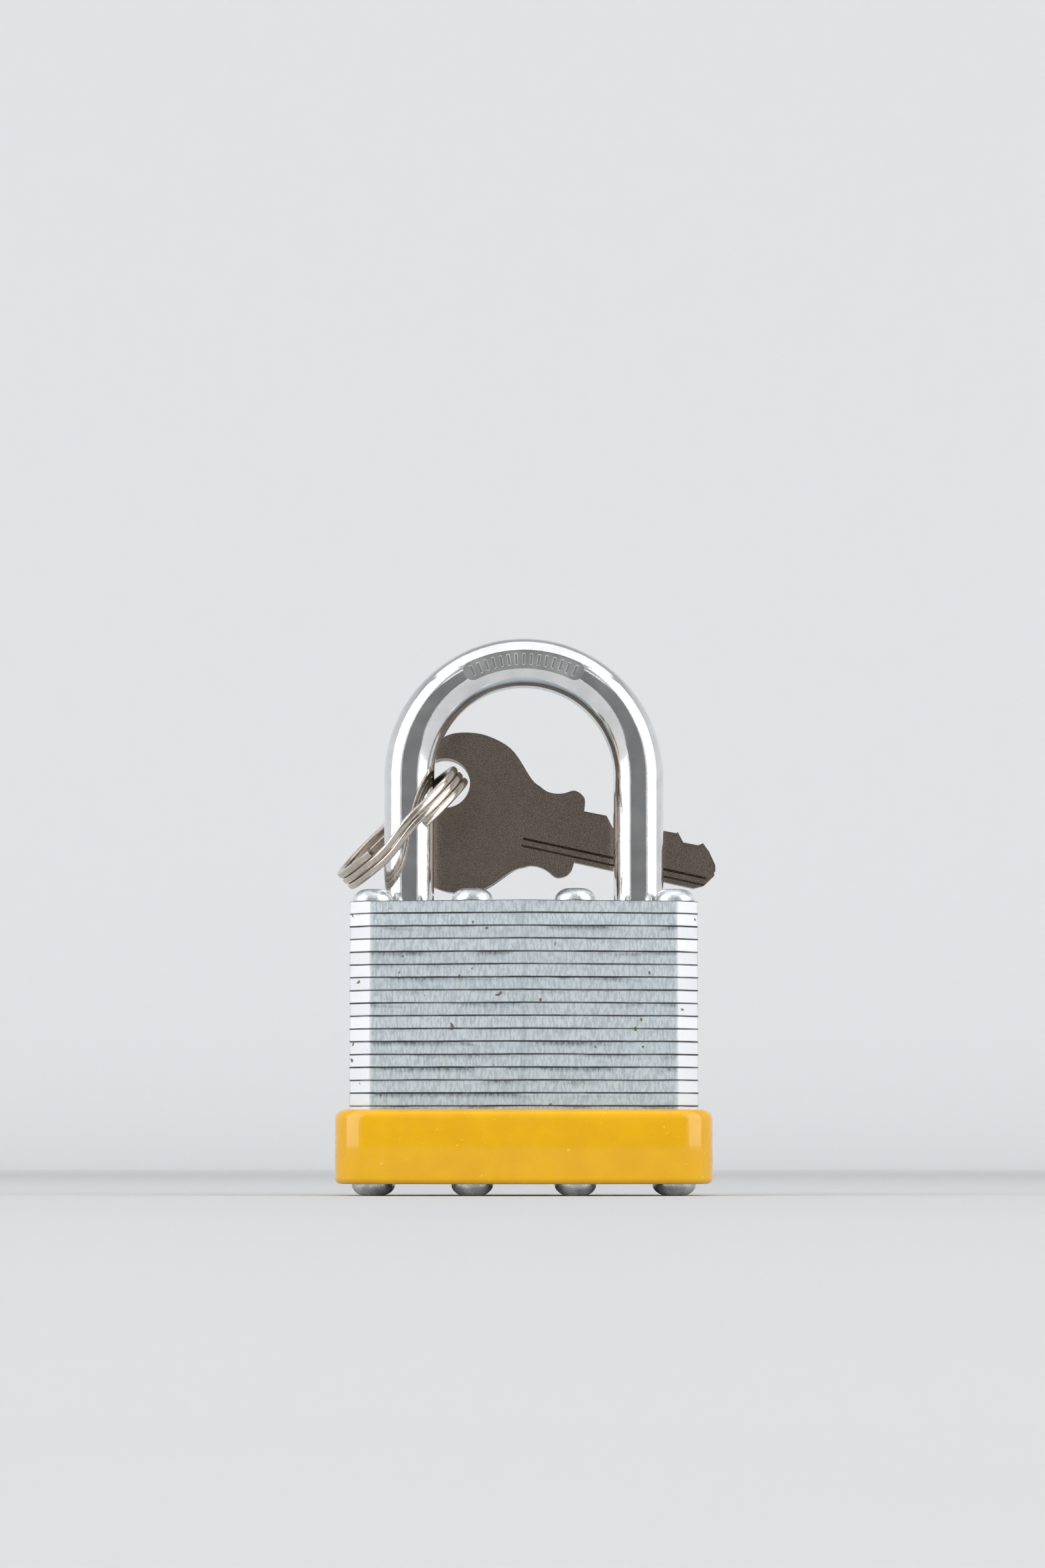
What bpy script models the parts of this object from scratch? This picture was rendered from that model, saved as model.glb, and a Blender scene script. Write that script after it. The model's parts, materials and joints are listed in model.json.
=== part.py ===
"""Laminated padlock with a pin-tumbler cylinder, two locking bolts, a bumper, a split ring and two keys.

Lengths below are millimetres; MM turns them into Blender's metres when a mesh is made.
+X points to the toe (free) leg of the shackle, -Y is the front, +Z is up.
The origin is under the middle of the body, level with the tips of the lower rivet heads.
"""

import math

import bmesh
import bpy
from mathutils import Matrix, Vector

MM = 0.001

# Body: a stack of stamped plates held by rivets. Front and back rise to a low ridge in the middle.
BODY_WIDTH = 40.0
BODY_DEPTH = 20.0
RIDGE_RISE = 2.4
CORNER_CHAMFER = (2.35, 2.0)
PLATE_COUNT = 22
PLATE_PITCH = 32.2 / PLATE_COUNT
PLATE_GAP = 0.06
RIVET_HEAD_RADIUS = 2.35
RIVET_HEAD_HEIGHT = 1.45
RIVET_SHAFT_RADIUS = 1.45
OUTER_RIVET = (17.3, 4.7)
INNER_RIVET = (5.9, 6.8)
STACK_BOTTOM = RIVET_HEAD_HEIGHT
STACK_TOP = STACK_BOTTOM + PLATE_COUNT * PLATE_PITCH - PLATE_GAP

# Bumper round the foot of the body
BUMPER_WALL = 1.6
BUMPER_RADIUS = 4.5
BUMPER_BOTTOM = 1.35
BUMPER_HEIGHT = 8.5

# Fits
SLIDE_FIT = 0.15
LOOSE_FIT = 0.3
THIN_FIT = 0.05

# Shackle
SHACKLE_RADIUS = 2.9
LEG_X = 13.3
ARCH_Z = 48.4
HEEL_END = 15.2
TOE_END = 22.1
LIFT = 12.0
RETAINER_RADIUS = 0.55
RETAINER_DEPTH = 1.15
RETAINER_HALF_LENGTH = 2.65
GROOVE_HEIGHT = 1.5

# Plate layers, counted from the bottom, that hold each mechanism
HOUSING_LAYER = 2
CLIP_LAYER = 13
CAM_LAYER = 14
BOLT_LAYER = 17
RETAINER_LAYER = 19
HEEL_LAYER = 2
TOE_LAYER = 14

# Cylinder
PLUG_RADIUS = 5.0
PLUG_FACE_RADIUS = 4.35
PLUG_SHOULDER = 4.5
PLUG_TOP = 20.2
TAIL_RADIUS = 2.6
TAIL_TOP = 21.5
BLADE_HALF = (2.2, 0.9)
BLADE_TOP = 23.2
KEYWAY_HALF = (3.1, 1.05)
KEYWAY_TOP = 18.8
HOUSING_RADIUS = 6.45
BIBLE_HALF_WIDTH = 2.55
BIBLE_X = 11.55
HOUSING_BOTTOM = 4.45
HOUSING_TOP = 20.35
PIN_COUNT = 4
PIN_FIRST_Z = 6.1
PIN_PITCH = 2.8
PIN_RADIUS = 1.1
KEY_PIN_OUTER = 4.7
DRIVER_PIN_X = (5.3, 7.6)
COVER_THICKNESS = 0.45

# Cam and bolts
CAM_RADIUS = 4.5
CAM_Z = (21.65, 26.1)
CAM_PIN_RADIUS = 0.9
CAM_PIN_ORBIT = 3.0
CAM_PIN_TOP = 28.7
CAM_PIN_START = math.radians(45)
BOLT_Z = (26.55, 28.95)
BOLT_ARM_X = (0.3, 9.0)
BOLT_ARM_Y = (0.15, 4.7)
BOLT_NOSE_X = 11.4
BOLT_NOSE_HALF = 1.9
BOLT_SLOT_HALF = 1.15
BOLT_SLOT_Y = (1.0, 4.1)
BOLT_TRAVEL = 4.2
BOLT_CAVITY = (9.3, 4.85)
NOTCH_FACE_X = 11.7

# Split ring: edge-on from the front, threaded on the heel leg and through both keys
RING_RADIUS = 9.3
RING_WALL = 0.95
RING_WIDTH = 2.6
RING_CENTRE = Vector((-14.1, 1.2, 42.6))
RING_SLOPE = math.radians(43)
RING_TILT = math.radians(8)
KEY_ON_RING = (7.3, 4.65)

# Keys
KEY_SLOPE = math.radians(12.3)
KEY_THICKNESS = 1.8
KEY_FRONTS = (3.9, 5.9)
KEY_SPREAD = (0.0, math.radians(-1.2))
KEY_AXIS_POINT = (0.25, 43.0)
KEY_HOLE_RADIUS = 2.9
BLADE_HALF_HEIGHT = 2.95
KEY_CUT_FIRST = 10.9
KEY_CUT_DEPTHS = (1.3, 0.6, 0.45, 1.35)
KEY_CUT_FLAT = 0.9
KEY_CUT_SLOPE = 1.25
BOW_HALF = (
    (6.3, 2.9),
    (5.4, 4.8),
    (4.6, 5.2),
    (2.6, 4.35),
    (0.7, 4.8),
    (-0.5, 5.5),
    (-3.2, 8.2),
    (-5.6, 9.2),
    (-8.2, 9.4),
    (-11.2, 8.5),
    (-13.2, 6.0),
    (-14.2, 2.4),
)
KEY_TIP = ((20.7, 2.0), (22.7, -0.3), (22.8, -1.0), (21.7, -2.6), (20.7, -2.95))


def clear_scene():
    for old in list(bpy.data.objects):
        bpy.data.objects.remove(old, do_unlink=True)


def make_material(name, color, roughness, metallic):
    material = bpy.data.materials.new(name)
    material.use_nodes = True
    shader = material.node_tree.nodes["Principled BSDF"]
    shader.inputs["Base Color"].default_value = (*color, 1.0)
    shader.inputs["Roughness"].default_value = roughness
    shader.inputs["Metallic"].default_value = metallic
    return material


FINISHES = {
    "zinc": ((0.62, 0.64, 0.67), 0.42, 1.0),
    "rivet_steel": ((0.66, 0.67, 0.68), 0.35, 1.0),
    "chrome": ((0.78, 0.78, 0.79), 0.12, 1.0),
    "bumper_yellow": ((0.80, 0.46, 0.0), 0.30, 0.0),
    "brass": ((0.72, 0.55, 0.25), 0.35, 1.0),
    "die_cast": ((0.50, 0.50, 0.52), 0.55, 1.0),
    "bolt_steel": ((0.45, 0.46, 0.48), 0.40, 1.0),
    "spring_steel": ((0.55, 0.56, 0.58), 0.30, 1.0),
    "nickel": ((0.60, 0.57, 0.52), 0.25, 1.0),
}


def axis_empty(name, place):
    """An empty on a joint's axis, which the moving pieces are parented to."""
    empty = bpy.data.objects.new(name, None)
    empty.location = Vector(place) * MM
    bpy.context.scene.collection.objects.link(empty)
    return empty


def finish_object(name, mesh_builder, finish, parent=None, smooth=False):
    """Turns a bmesh in millimetres into an object with its own material."""
    bmesh.ops.recalc_face_normals(mesh_builder, faces=mesh_builder.faces)
    bmesh.ops.scale(mesh_builder, vec=(MM, MM, MM), verts=mesh_builder.verts)
    mesh = bpy.data.meshes.new(name)
    mesh_builder.to_mesh(mesh)
    mesh_builder.free()
    if smooth:
        mesh.shade_smooth()
        mesh.set_sharp_from_angle(angle=math.radians(40))
    mesh.materials.append(make_material(name, *FINISHES[finish]))
    piece = bpy.data.objects.new(name, mesh)
    bpy.context.scene.collection.objects.link(piece)
    if parent:
        piece.parent = parent
        piece.matrix_parent_inverse = Matrix.Translation(-parent.location)
    return piece


def combine(piece, tool, operation):
    """Adds a Boolean to a piece and marks the other shape as a guide."""
    tool.hide_render = True
    tool.display_type = "WIRE"
    modifier = piece.modifiers.new(tool.name, "BOOLEAN")
    modifier.operation = operation
    modifier.solver = "EXACT"
    modifier.object = tool


def circle(centre, radius, sides):
    return [
        (
            centre[0] + radius * math.cos(2 * math.pi * i / sides),
            centre[1] + radius * math.sin(2 * math.pi * i / sides),
        )
        for i in range(sides)
    ]


def hole(centre, clear_radius, sides):
    """A faceted hole whose flats stay clear_radius from its centre."""
    return circle(centre, clear_radius / math.cos(math.pi / sides), sides)


def arc(centre, radius, start, end, steps):
    return [
        (
            centre[0] + radius * math.cos(start + (end - start) * i / steps),
            centre[1] + radius * math.sin(start + (end - start) * i / steps),
        )
        for i in range(steps + 1)
    ]


def rectangle(low_x, high_x, low_y, high_y):
    return [(low_x, low_y), (high_x, low_y), (high_x, high_y), (low_x, high_y)]


def half_turn(outline):
    return [(-x, -y) for x, y in outline]


def body_outline(margin=0.0):
    """The plates' outline, ridged at the front and back and chamfered at the corners."""
    half_x = BODY_WIDTH / 2 + margin
    half_y = BODY_DEPTH / 2 + margin
    chamfer_x, chamfer_y = CORNER_CHAMFER
    shoulder = half_y - RIDGE_RISE
    side = [
        (half_x, -shoulder + chamfer_y),
        (half_x, shoulder - chamfer_y),
        (half_x - chamfer_x, shoulder),
        (0, half_y),
        (-half_x + chamfer_x, shoulder),
    ]
    return side + half_turn(side)


def prism(outlines, low, high):
    """A flat-ended solid between two heights; outlines after the first are holes."""
    shape = bmesh.new()
    edges = []
    for outline in outlines:
        corners = [shape.verts.new((x, y, low)) for x, y in outline]
        for start, end in zip(corners, corners[1:] + corners[:1]):
            edges.append(shape.edges.new((start, end)))
    filled = bmesh.ops.triangle_fill(shape, use_beauty=True, edges=edges)
    faces = [part for part in filled["geom"] if isinstance(part, bmesh.types.BMFace)]
    raised = bmesh.ops.extrude_face_region(shape, geom=faces)
    top = [part for part in raised["geom"] if isinstance(part, bmesh.types.BMVert)]
    bmesh.ops.translate(shape, verts=top, vec=(0, 0, high - low))
    return shape


def turned(profile, sides):
    """A solid turned about Z from (radius, height) pairs that start and end on the axis."""
    shape = bmesh.new()
    rings = []
    for radius, height in profile:
        if radius == 0:
            rings.append([shape.verts.new((0, 0, height))])
        else:
            rings.append([shape.verts.new((x, y, height)) for x, y in circle((0, 0), radius, sides)])
    for lower, upper in zip(rings, rings[1:]):
        for i in range(sides):
            j = (i + 1) % sides
            if len(lower) == 1:
                shape.faces.new((lower[0], upper[i], upper[j]))
            elif len(upper) == 1:
                shape.faces.new((lower[i], lower[j], upper[0]))
            else:
                shape.faces.new((lower[i], lower[j], upper[j], upper[i]))
    return shape


def cylinder(radius, low, high, sides):
    return turned(((0, low), (radius, low), (radius, high), (0, high)), sides)


def placed(shape, matrix):
    bmesh.ops.transform(shape, matrix=matrix, verts=shape.verts)
    return shape


def along_x(place):
    """Lays a shape's Z axis along +X, starting at a place."""
    return Matrix.Translation(place) @ Matrix.Rotation(math.radians(90), 4, "Y")


def sweep(path, section, across):
    """A closed or open tube: the section's (side, lift) points carried along a path."""
    shape = bmesh.new()
    rings = []
    for i, point in enumerate(path):
        before = path[max(i - 1, 0)]
        after = path[min(i + 1, len(path) - 1)]
        forward = (after - before).normalized()
        side = forward.cross(across).normalized()
        lift = side.cross(forward)
        rings.append([shape.verts.new(point + side * a + lift * b) for a, b in section])
    count = len(section)
    for lower, upper in zip(rings, rings[1:]):
        for i in range(count):
            j = (i + 1) % count
            shape.faces.new((lower[i], lower[j], upper[j], upper[i]))
    shape.faces.new(list(reversed(rings[0])))
    shape.faces.new(rings[-1])
    return shape


def coil(radius, wire, low, high, turns, steps_per_turn):
    """A compression spring about Z, square in section to stay light."""
    steps = turns * steps_per_turn
    start = low + wire
    rise = (high - low - 2 * wire) / steps
    path = [
        Vector(
            (
                radius * math.cos(2 * math.pi * i / steps_per_turn),
                radius * math.sin(2 * math.pi * i / steps_per_turn),
                start + rise * i,
            )
        )
        for i in range(steps + 1)
    ]
    return sweep(path, circle((0, 0), wire, 4), Vector((0, 0, 1)))


def layer_bottom(layer):
    return STACK_BOTTOM + layer * PLATE_PITCH


# ---------------------------------------------------------------- body


def heel_hole():
    return hole((-LEG_X, 0), SHACKLE_RADIUS + SLIDE_FIT, 12)


def toe_hole():
    return hole((LEG_X, 0), SHACKLE_RADIUS + SLIDE_FIT, 12)


def heel_hole_with_retainer_pocket():
    """The heel hole, widened on its outer side for the cross pin."""
    radius = (SHACKLE_RADIUS + SLIDE_FIT) / math.cos(math.pi / 12)
    pocket_near = -LEG_X - 1.6
    pocket_far = retainer_x() - RETAINER_RADIUS - SLIDE_FIT
    pocket_half = RETAINER_HALF_LENGTH + SLIDE_FIT
    open_angle = math.acos((pocket_near + LEG_X) / radius)
    outline = arc((-LEG_X, 0), radius, -open_angle, open_angle, 10)
    return outline + [
        (pocket_near, pocket_half),
        (pocket_far, pocket_half),
        (pocket_far, -pocket_half),
        (pocket_near, -pocket_half),
    ]


def housing_cavity():
    """A round bore with a straight bay on the toe side for the pin chambers."""
    radius = HOUSING_RADIUS + 2 * SLIDE_FIT
    half = BIBLE_HALF_WIDTH + SLIDE_FIT
    far = BIBLE_X + 2 * SLIDE_FIT + COVER_THICKNESS
    opening = math.asin(half / radius)
    outline = arc((0, 0), radius, opening, 2 * math.pi - opening, 14)
    return outline + [(far, -half), (far, half)]


def bolt_cavity():
    """The bolts' room, joined by a channel on each side to the leg holes."""
    half_x, half_y = BOLT_CAVITY
    channel = BOLT_NOSE_HALF + SLIDE_FIT
    radius = (SHACKLE_RADIUS + SLIDE_FIT) / math.cos(math.pi / 12)
    opening = math.pi - math.asin(channel / radius)
    side = [(half_x, -half_y), (half_x, -channel)]
    side += arc((LEG_X, 0), radius, -opening, opening, 10)
    side += [(half_x, channel), (half_x, half_y)]
    return side + half_turn(side)


def rivet_places():
    corners = [(sx * x, sy * y) for sy in (-1, 1) for sx in (-1, 1) for x, y in (OUTER_RIVET, INNER_RIVET)]
    return sorted(corners, key=lambda place: (place[1] > 0, place[0]))


def plate_holes(layer):
    holes = [hole(place, RIVET_SHAFT_RADIUS + THIN_FIT, 6) for place in rivet_places()]
    if layer < HOUSING_LAYER:
        holes.append(hole((0, 0), PLUG_FACE_RADIUS + SLIDE_FIT, 16))
    elif layer < CLIP_LAYER:
        holes.append(housing_cavity())
    elif layer < CAM_LAYER:
        holes.append(hole((0, 0), 5.9, 14))
    elif layer < BOLT_LAYER:
        holes.append(hole((0, 0), CAM_RADIUS + LOOSE_FIT, 12))
    elif layer < RETAINER_LAYER:
        return holes + [bolt_cavity()]
    if layer == RETAINER_LAYER:
        holes.append(heel_hole_with_retainer_pocket())
    elif layer >= HEEL_LAYER:
        holes.append(heel_hole())
    if layer >= TOE_LAYER:
        holes.append(toe_hole())
    return holes


def make_plates():
    outline = body_outline()
    for layer in range(PLATE_COUNT):
        low = layer_bottom(layer)
        shape = prism([outline] + plate_holes(layer), low, low + PLATE_PITCH - PLATE_GAP)
        finish_object(f"plate_{layer + 1:02d}", shape, "zinc")


def make_rivets():
    """Through rivets with a domed head on each end of the stack."""
    head = RIVET_HEAD_RADIUS
    rise = RIVET_HEAD_HEIGHT
    lower = STACK_BOTTOM - THIN_FIT
    upper = STACK_TOP + THIN_FIT
    dome = ((1.0, 0.0), (0.92, 0.45), (0.6, 0.85), (0.0, 1.0))
    bottom_head = [(head * r, lower - (rise - THIN_FIT) * h) for r, h in reversed(dome)]
    top_head = [(head * r, upper + (rise - THIN_FIT) * h) for r, h in dome]
    shaft = [(RIVET_SHAFT_RADIUS, lower), (RIVET_SHAFT_RADIUS, upper)]
    for number, (x, y) in enumerate(rivet_places(), start=1):
        shape = turned(bottom_head + shaft + top_head, 8)
        placed(shape, Matrix.Translation((x, y, 0)))
        finish_object(f"rivet_{number}", shape, "rivet_steel", smooth=True)


def make_bumper():
    """A band one wall thick round the body, ridged like it and rounded at the corners."""
    lean = math.atan(RIDGE_RISE / (BODY_WIDTH / 2 - CORNER_CHAMFER[0]))
    ridge = BODY_DEPTH / 2 + BUMPER_WALL / math.cos(lean)
    corner_x = BODY_WIDTH / 2 + BUMPER_WALL - BUMPER_RADIUS
    corner_y = ridge - corner_x * math.tan(lean) - BUMPER_RADIUS / math.cos(lean)
    quarter = math.pi / 2 - lean
    side = arc((corner_x, -corner_y), BUMPER_RADIUS, -quarter, 0, 5)
    side += arc((corner_x, corner_y), BUMPER_RADIUS, 0, quarter, 5)
    side.append((0, ridge))
    shape = prism(
        [side + half_turn(side), body_outline(THIN_FIT)],
        BUMPER_BOTTOM,
        BUMPER_BOTTOM + BUMPER_HEIGHT,
    )
    finish_object("bumper", shape, "bumper_yellow")


# ---------------------------------------------------------------- shackle


def box(low_x, high_x, half_y, low_z, high_z):
    return prism([rectangle(low_x, high_x, -half_y, half_y)], low_z, high_z)


def retainer_x():
    return -LEG_X - SHACKLE_RADIUS + RETAINER_DEPTH - SLIDE_FIT - RETAINER_RADIUS


def retainer_z():
    return layer_bottom(RETAINER_LAYER) + (PLATE_PITCH - PLATE_GAP) / 2


def notch_heights():
    """The notches reach down far enough for the shackle to start lifting while the bolts draw in."""
    grip = BOLT_NOSE_X - (LEG_X - SHACKLE_RADIUS)
    low = BOLT_Z[0] - LIFT * grip / BOLT_TRAVEL - SLIDE_FIT
    return low, BOLT_Z[1] + LOOSE_FIT


def make_shackle(parent):
    """A bent rod: heel leg, half-round arch and toe leg, with its notches and stop groove cut in."""
    arch_steps = 14
    path = [Vector((-LEG_X, 0, HEEL_END))]
    for i in range(arch_steps + 1):
        angle = math.pi - math.pi * i / arch_steps
        path.append(Vector((LEG_X * math.cos(angle), 0, ARCH_Z + LEG_X * math.sin(angle))))
    path.append(Vector((LEG_X, 0, TOE_END)))
    rod = sweep(path, circle((0, 0), SHACKLE_RADIUS, 12), Vector((0, 1, 0)))
    level_ends(rod)
    shackle = finish_object("shackle", rod, "chrome", parent, smooth=True)
    reach = SHACKLE_RADIUS + 1
    toe_notch = box(LEG_X - reach, NOTCH_FACE_X, reach, *notch_heights())
    heel_notch = box(-NOTCH_FACE_X, -LEG_X + reach, reach, *notch_heights())
    flat_x = -LEG_X - SHACKLE_RADIUS + RETAINER_DEPTH
    groove_bottom = retainer_z() - LIFT - GROOVE_HEIGHT / 2
    flat_top = retainer_z() + RETAINER_RADIUS + LOOSE_FIT
    flat = box(-LEG_X - reach, flat_x, reach, groove_bottom, flat_top)
    groove_core = circle((-LEG_X, 0), SHACKLE_RADIUS - RETAINER_DEPTH, 12)
    rim = circle((-LEG_X, 0), reach, 12)
    groove = prism([rim, groove_core], groove_bottom, groove_bottom + GROOVE_HEIGHT)
    cutters = {
        "toe_notch": toe_notch,
        "heel_notch": heel_notch,
        "lift_flat": flat,
        "swivel_groove": groove,
    }
    for name, cutter in cutters.items():
        combine(shackle, finish_object(name, cutter, "chrome", parent), "DIFFERENCE")


def level_ends(rod):
    """Squares the two ends, whose rings lean with the arch's first and last steps."""
    for vertex in rod.verts:
        if vertex.co.z < ARCH_Z - LEG_X:
            vertex.co.z = HEEL_END if vertex.co.x < 0 else TOE_END


def make_retaining_pin():
    """The cross pin that keeps the heel leg in the body."""
    shape = cylinder(RETAINER_RADIUS, -RETAINER_HALF_LENGTH, RETAINER_HALF_LENGTH, 8)
    lay_down = Matrix.Rotation(math.radians(90), 4, "X")
    placed(shape, Matrix.Translation((retainer_x(), 0, retainer_z())) @ lay_down)
    finish_object("retaining_pin", shape, "bolt_steel", smooth=True)


def make_shackle_spring():
    floor = layer_bottom(HEEL_LAYER)
    shape = coil(2.1, 0.35, floor + SLIDE_FIT, HEEL_END - SLIDE_FIT, 6, 10)
    placed(shape, Matrix.Translation((-LEG_X, 0, 0)))
    finish_object("shackle_spring", shape, "spring_steel")


# ---------------------------------------------------------------- cylinder


def pin_heights():
    return [PIN_FIRST_Z + PIN_PITCH * i for i in range(PIN_COUNT)]


def make_housing():
    """The cylinder housing, with its bore and one pin chamber at each pin."""
    opening = math.asin(BIBLE_HALF_WIDTH / HOUSING_RADIUS)
    outline = arc((0, 0), HOUSING_RADIUS, opening, 2 * math.pi - opening, 14)
    outline += [(BIBLE_X, -BIBLE_HALF_WIDTH), (BIBLE_X, BIBLE_HALF_WIDTH)]
    bore = hole((0, 0), PLUG_RADIUS + 0.08, 20)
    shape = prism([outline, bore], HOUSING_BOTTOM, HOUSING_TOP)
    housing = finish_object("cylinder_housing", shape, "die_cast")
    for number, height in enumerate(pin_heights(), start=1):
        cutter = cylinder(PIN_RADIUS + SLIDE_FIT, 0, BIBLE_X, 8)
        placed(cutter, along_x((PLUG_RADIUS / 2, 0, height)))
        tool = finish_object(f"chamber_{number}", cutter, "die_cast")
        combine(housing, tool, "DIFFERENCE")
    cover_x = BIBLE_X + SLIDE_FIT
    cover = box(cover_x, cover_x + COVER_THICKNESS, 2.4, HOUSING_BOTTOM + 0.2, 17.0)
    finish_object("chamber_cover", cover, "brass")


def make_plug(parent):
    """The plug: a face, a body with a keyway and pin holes, and a tail with a drive blade."""
    bottom = STACK_BOTTOM + THIN_FIT
    profile = (
        (0, bottom),
        (PLUG_FACE_RADIUS, bottom),
        (PLUG_FACE_RADIUS, PLUG_SHOULDER),
        (PLUG_RADIUS, PLUG_SHOULDER),
        (PLUG_RADIUS, PLUG_TOP),
        (TAIL_RADIUS, PLUG_TOP),
        (TAIL_RADIUS, TAIL_TOP),
        (0, TAIL_TOP),
    )
    plug = finish_object("plug", turned(profile, 20), "brass", parent, smooth=True)
    half_x, half_y = KEYWAY_HALF
    keyway = box(-half_x, half_x, half_y, bottom - 1, KEYWAY_TOP)
    combine(plug, finish_object("keyway", keyway, "brass", parent), "DIFFERENCE")
    for number, height in enumerate(pin_heights(), start=1):
        drill = cylinder(PIN_RADIUS + SLIDE_FIT, 0, PLUG_RADIUS, 8)
        placed(drill, along_x((0.8, 0, height)))
        tool = finish_object(f"pin_hole_{number}", drill, "brass", parent)
        combine(plug, tool, "DIFFERENCE")
    half_x, half_y = BLADE_HALF
    blade = box(-half_x, half_x, half_y, TAIL_TOP - 0.5, BLADE_TOP)
    combine(plug, finish_object("drive_blade", blade, "brass", parent), "UNION")


def make_pins(plug_parent):
    """Key pins in the plug, driver pins and springs in the housing, parted at the shear line."""
    driver_low, driver_high = DRIVER_PIN_X
    for i, height in enumerate(pin_heights()):
        tip = BLADE_HALF_HEIGHT - KEY_CUT_DEPTHS[i]
        profile = (
            (0, tip),
            (0.5, tip),
            (PIN_RADIUS, tip + 0.75),
            (PIN_RADIUS, KEY_PIN_OUTER),
            (0, KEY_PIN_OUTER),
        )
        key_pin = placed(turned(profile, 8), along_x((0, 0, height)))
        finish_object(f"key_pin_{i + 1}", key_pin, "brass", plug_parent, smooth=True)
        driver = cylinder(PIN_RADIUS, driver_low, driver_high, 8)
        placed(driver, along_x((0, 0, height)))
        finish_object(f"driver_pin_{i + 1}", driver, "brass", smooth=True)
        spring = coil(0.85, 0.18, driver_high + SLIDE_FIT, BIBLE_X, 4, 8)
        placed(spring, along_x((0, 0, height)))
        finish_object(f"pin_spring_{i + 1}", spring, "spring_steel")


def make_clip(parent):
    """The open clip on the plug's tail that holds the plug in its housing."""
    gap = math.radians(35)
    outline = arc((0, 0), 5.6, gap, 2 * math.pi - gap, 14)
    outline += list(reversed(arc((0, 0), TAIL_RADIUS + SLIDE_FIT, gap, 2 * math.pi - gap, 14)))
    shape = prism([outline], HOUSING_TOP + SLIDE_FIT, HOUSING_TOP + 0.85)
    finish_object("plug_clip", shape, "spring_steel", parent)


# ---------------------------------------------------------------- cam and bolts


def make_cam(parent):
    """A disc driven by the plug's blade, with two pins that pull the bolts in."""
    half_x, half_y = BLADE_HALF
    slot = rectangle(-half_x - 0.2, half_x + 0.2, -half_y - 0.2, half_y + 0.2)
    disc = prism([circle((0, 0), CAM_RADIUS, 20), slot], *CAM_Z)
    cam = finish_object("cam", disc, "die_cast", parent)
    for name, turn in (("cam_pin_right", CAM_PIN_START), ("cam_pin_left", CAM_PIN_START + math.pi)):
        pin = cylinder(CAM_PIN_RADIUS, CAM_Z[1] - 1, CAM_PIN_TOP, 10)
        place = (CAM_PIN_ORBIT * math.cos(turn), CAM_PIN_ORBIT * math.sin(turn), 0)
        placed(pin, Matrix.Translation(place))
        combine(cam, finish_object(name, pin, "die_cast", parent), "UNION")


def make_bolts(right_parent, left_parent):
    """Two equal bolts, turned half a turn from each other, each with a slot for its cam pin."""
    inner, shoulder = BOLT_ARM_X
    near, far = BOLT_ARM_Y
    nose = BOLT_NOSE_HALF
    outline = [
        (inner, near),
        (shoulder, near),
        (shoulder, -nose),
        (BOLT_NOSE_X, -nose),
        (BOLT_NOSE_X, nose),
        (shoulder, nose),
        (shoulder, far),
        (inner, far),
    ]
    slot_middle = CAM_PIN_ORBIT * math.cos(CAM_PIN_START) + 0.04
    slot = rectangle(slot_middle - BOLT_SLOT_HALF, slot_middle + BOLT_SLOT_HALF, *BOLT_SLOT_Y)
    right = prism([outline, slot], *BOLT_Z)
    finish_object("bolt_right", right, "bolt_steel", right_parent)
    left = prism([half_turn(outline), half_turn(slot)], *BOLT_Z)
    finish_object("bolt_left", left, "bolt_steel", left_parent)


def make_bolt_springs():
    """One spring behind each bolt, lying along X against the far end of the bolts' room."""
    height = (BOLT_Z[0] + BOLT_Z[1]) / 2
    far = BOLT_CAVITY[0] - SLIDE_FIT
    near = BOLT_ARM_X[0] - SLIDE_FIT
    for name, turn in (("bolt_spring_right", 0.0), ("bolt_spring_left", math.pi)):
        shape = coil(0.85, 0.18, -far, near, 6, 8)
        placed(shape, along_x((0, 3.2, height)))
        placed(shape, Matrix.Rotation(turn, 4, "Z"))
        finish_object(name, shape, "spring_steel")


# ---------------------------------------------------------------- split ring and keys


def ring_axes():
    """Two directions in the split ring's plane: up its slope, and towards the back."""
    slope = Vector((math.cos(RING_SLOPE), 0, math.sin(RING_SLOPE)))
    normal = Vector((math.sin(RING_SLOPE), 0, -math.cos(RING_SLOPE)))
    back = Vector((0, 1, 0)) * math.cos(RING_TILT) - normal * math.sin(RING_TILT)
    return slope, back


def key_hole_centre():
    slope, back = ring_axes()
    along, behind = KEY_ON_RING
    return RING_CENTRE + slope * along + back * behind


def make_key_ring(parent):
    """The closed ring that stands for the coiled split ring."""
    segments = 28
    slope, back = ring_axes()
    normal = slope.cross(back)
    shape = bmesh.new()
    rings = []
    for i in range(segments):
        angle = 2 * math.pi * i / segments
        outward = slope * math.cos(angle) + back * math.sin(angle)
        section = (
            (RING_RADIUS, -RING_WIDTH / 2),
            (RING_RADIUS, RING_WIDTH / 2),
            (RING_RADIUS - RING_WALL, RING_WIDTH / 2),
            (RING_RADIUS - RING_WALL, -RING_WIDTH / 2),
        )
        rings.append([shape.verts.new(RING_CENTRE + outward * r + normal * h) for r, h in section])
    for i in range(segments):
        lower = rings[i]
        upper = rings[(i + 1) % segments]
        for a in range(4):
            b = (a + 1) % 4
            shape.faces.new((lower[a], lower[b], upper[b], upper[a]))
    finish_object("key_ring", shape, "nickel", parent)


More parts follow.
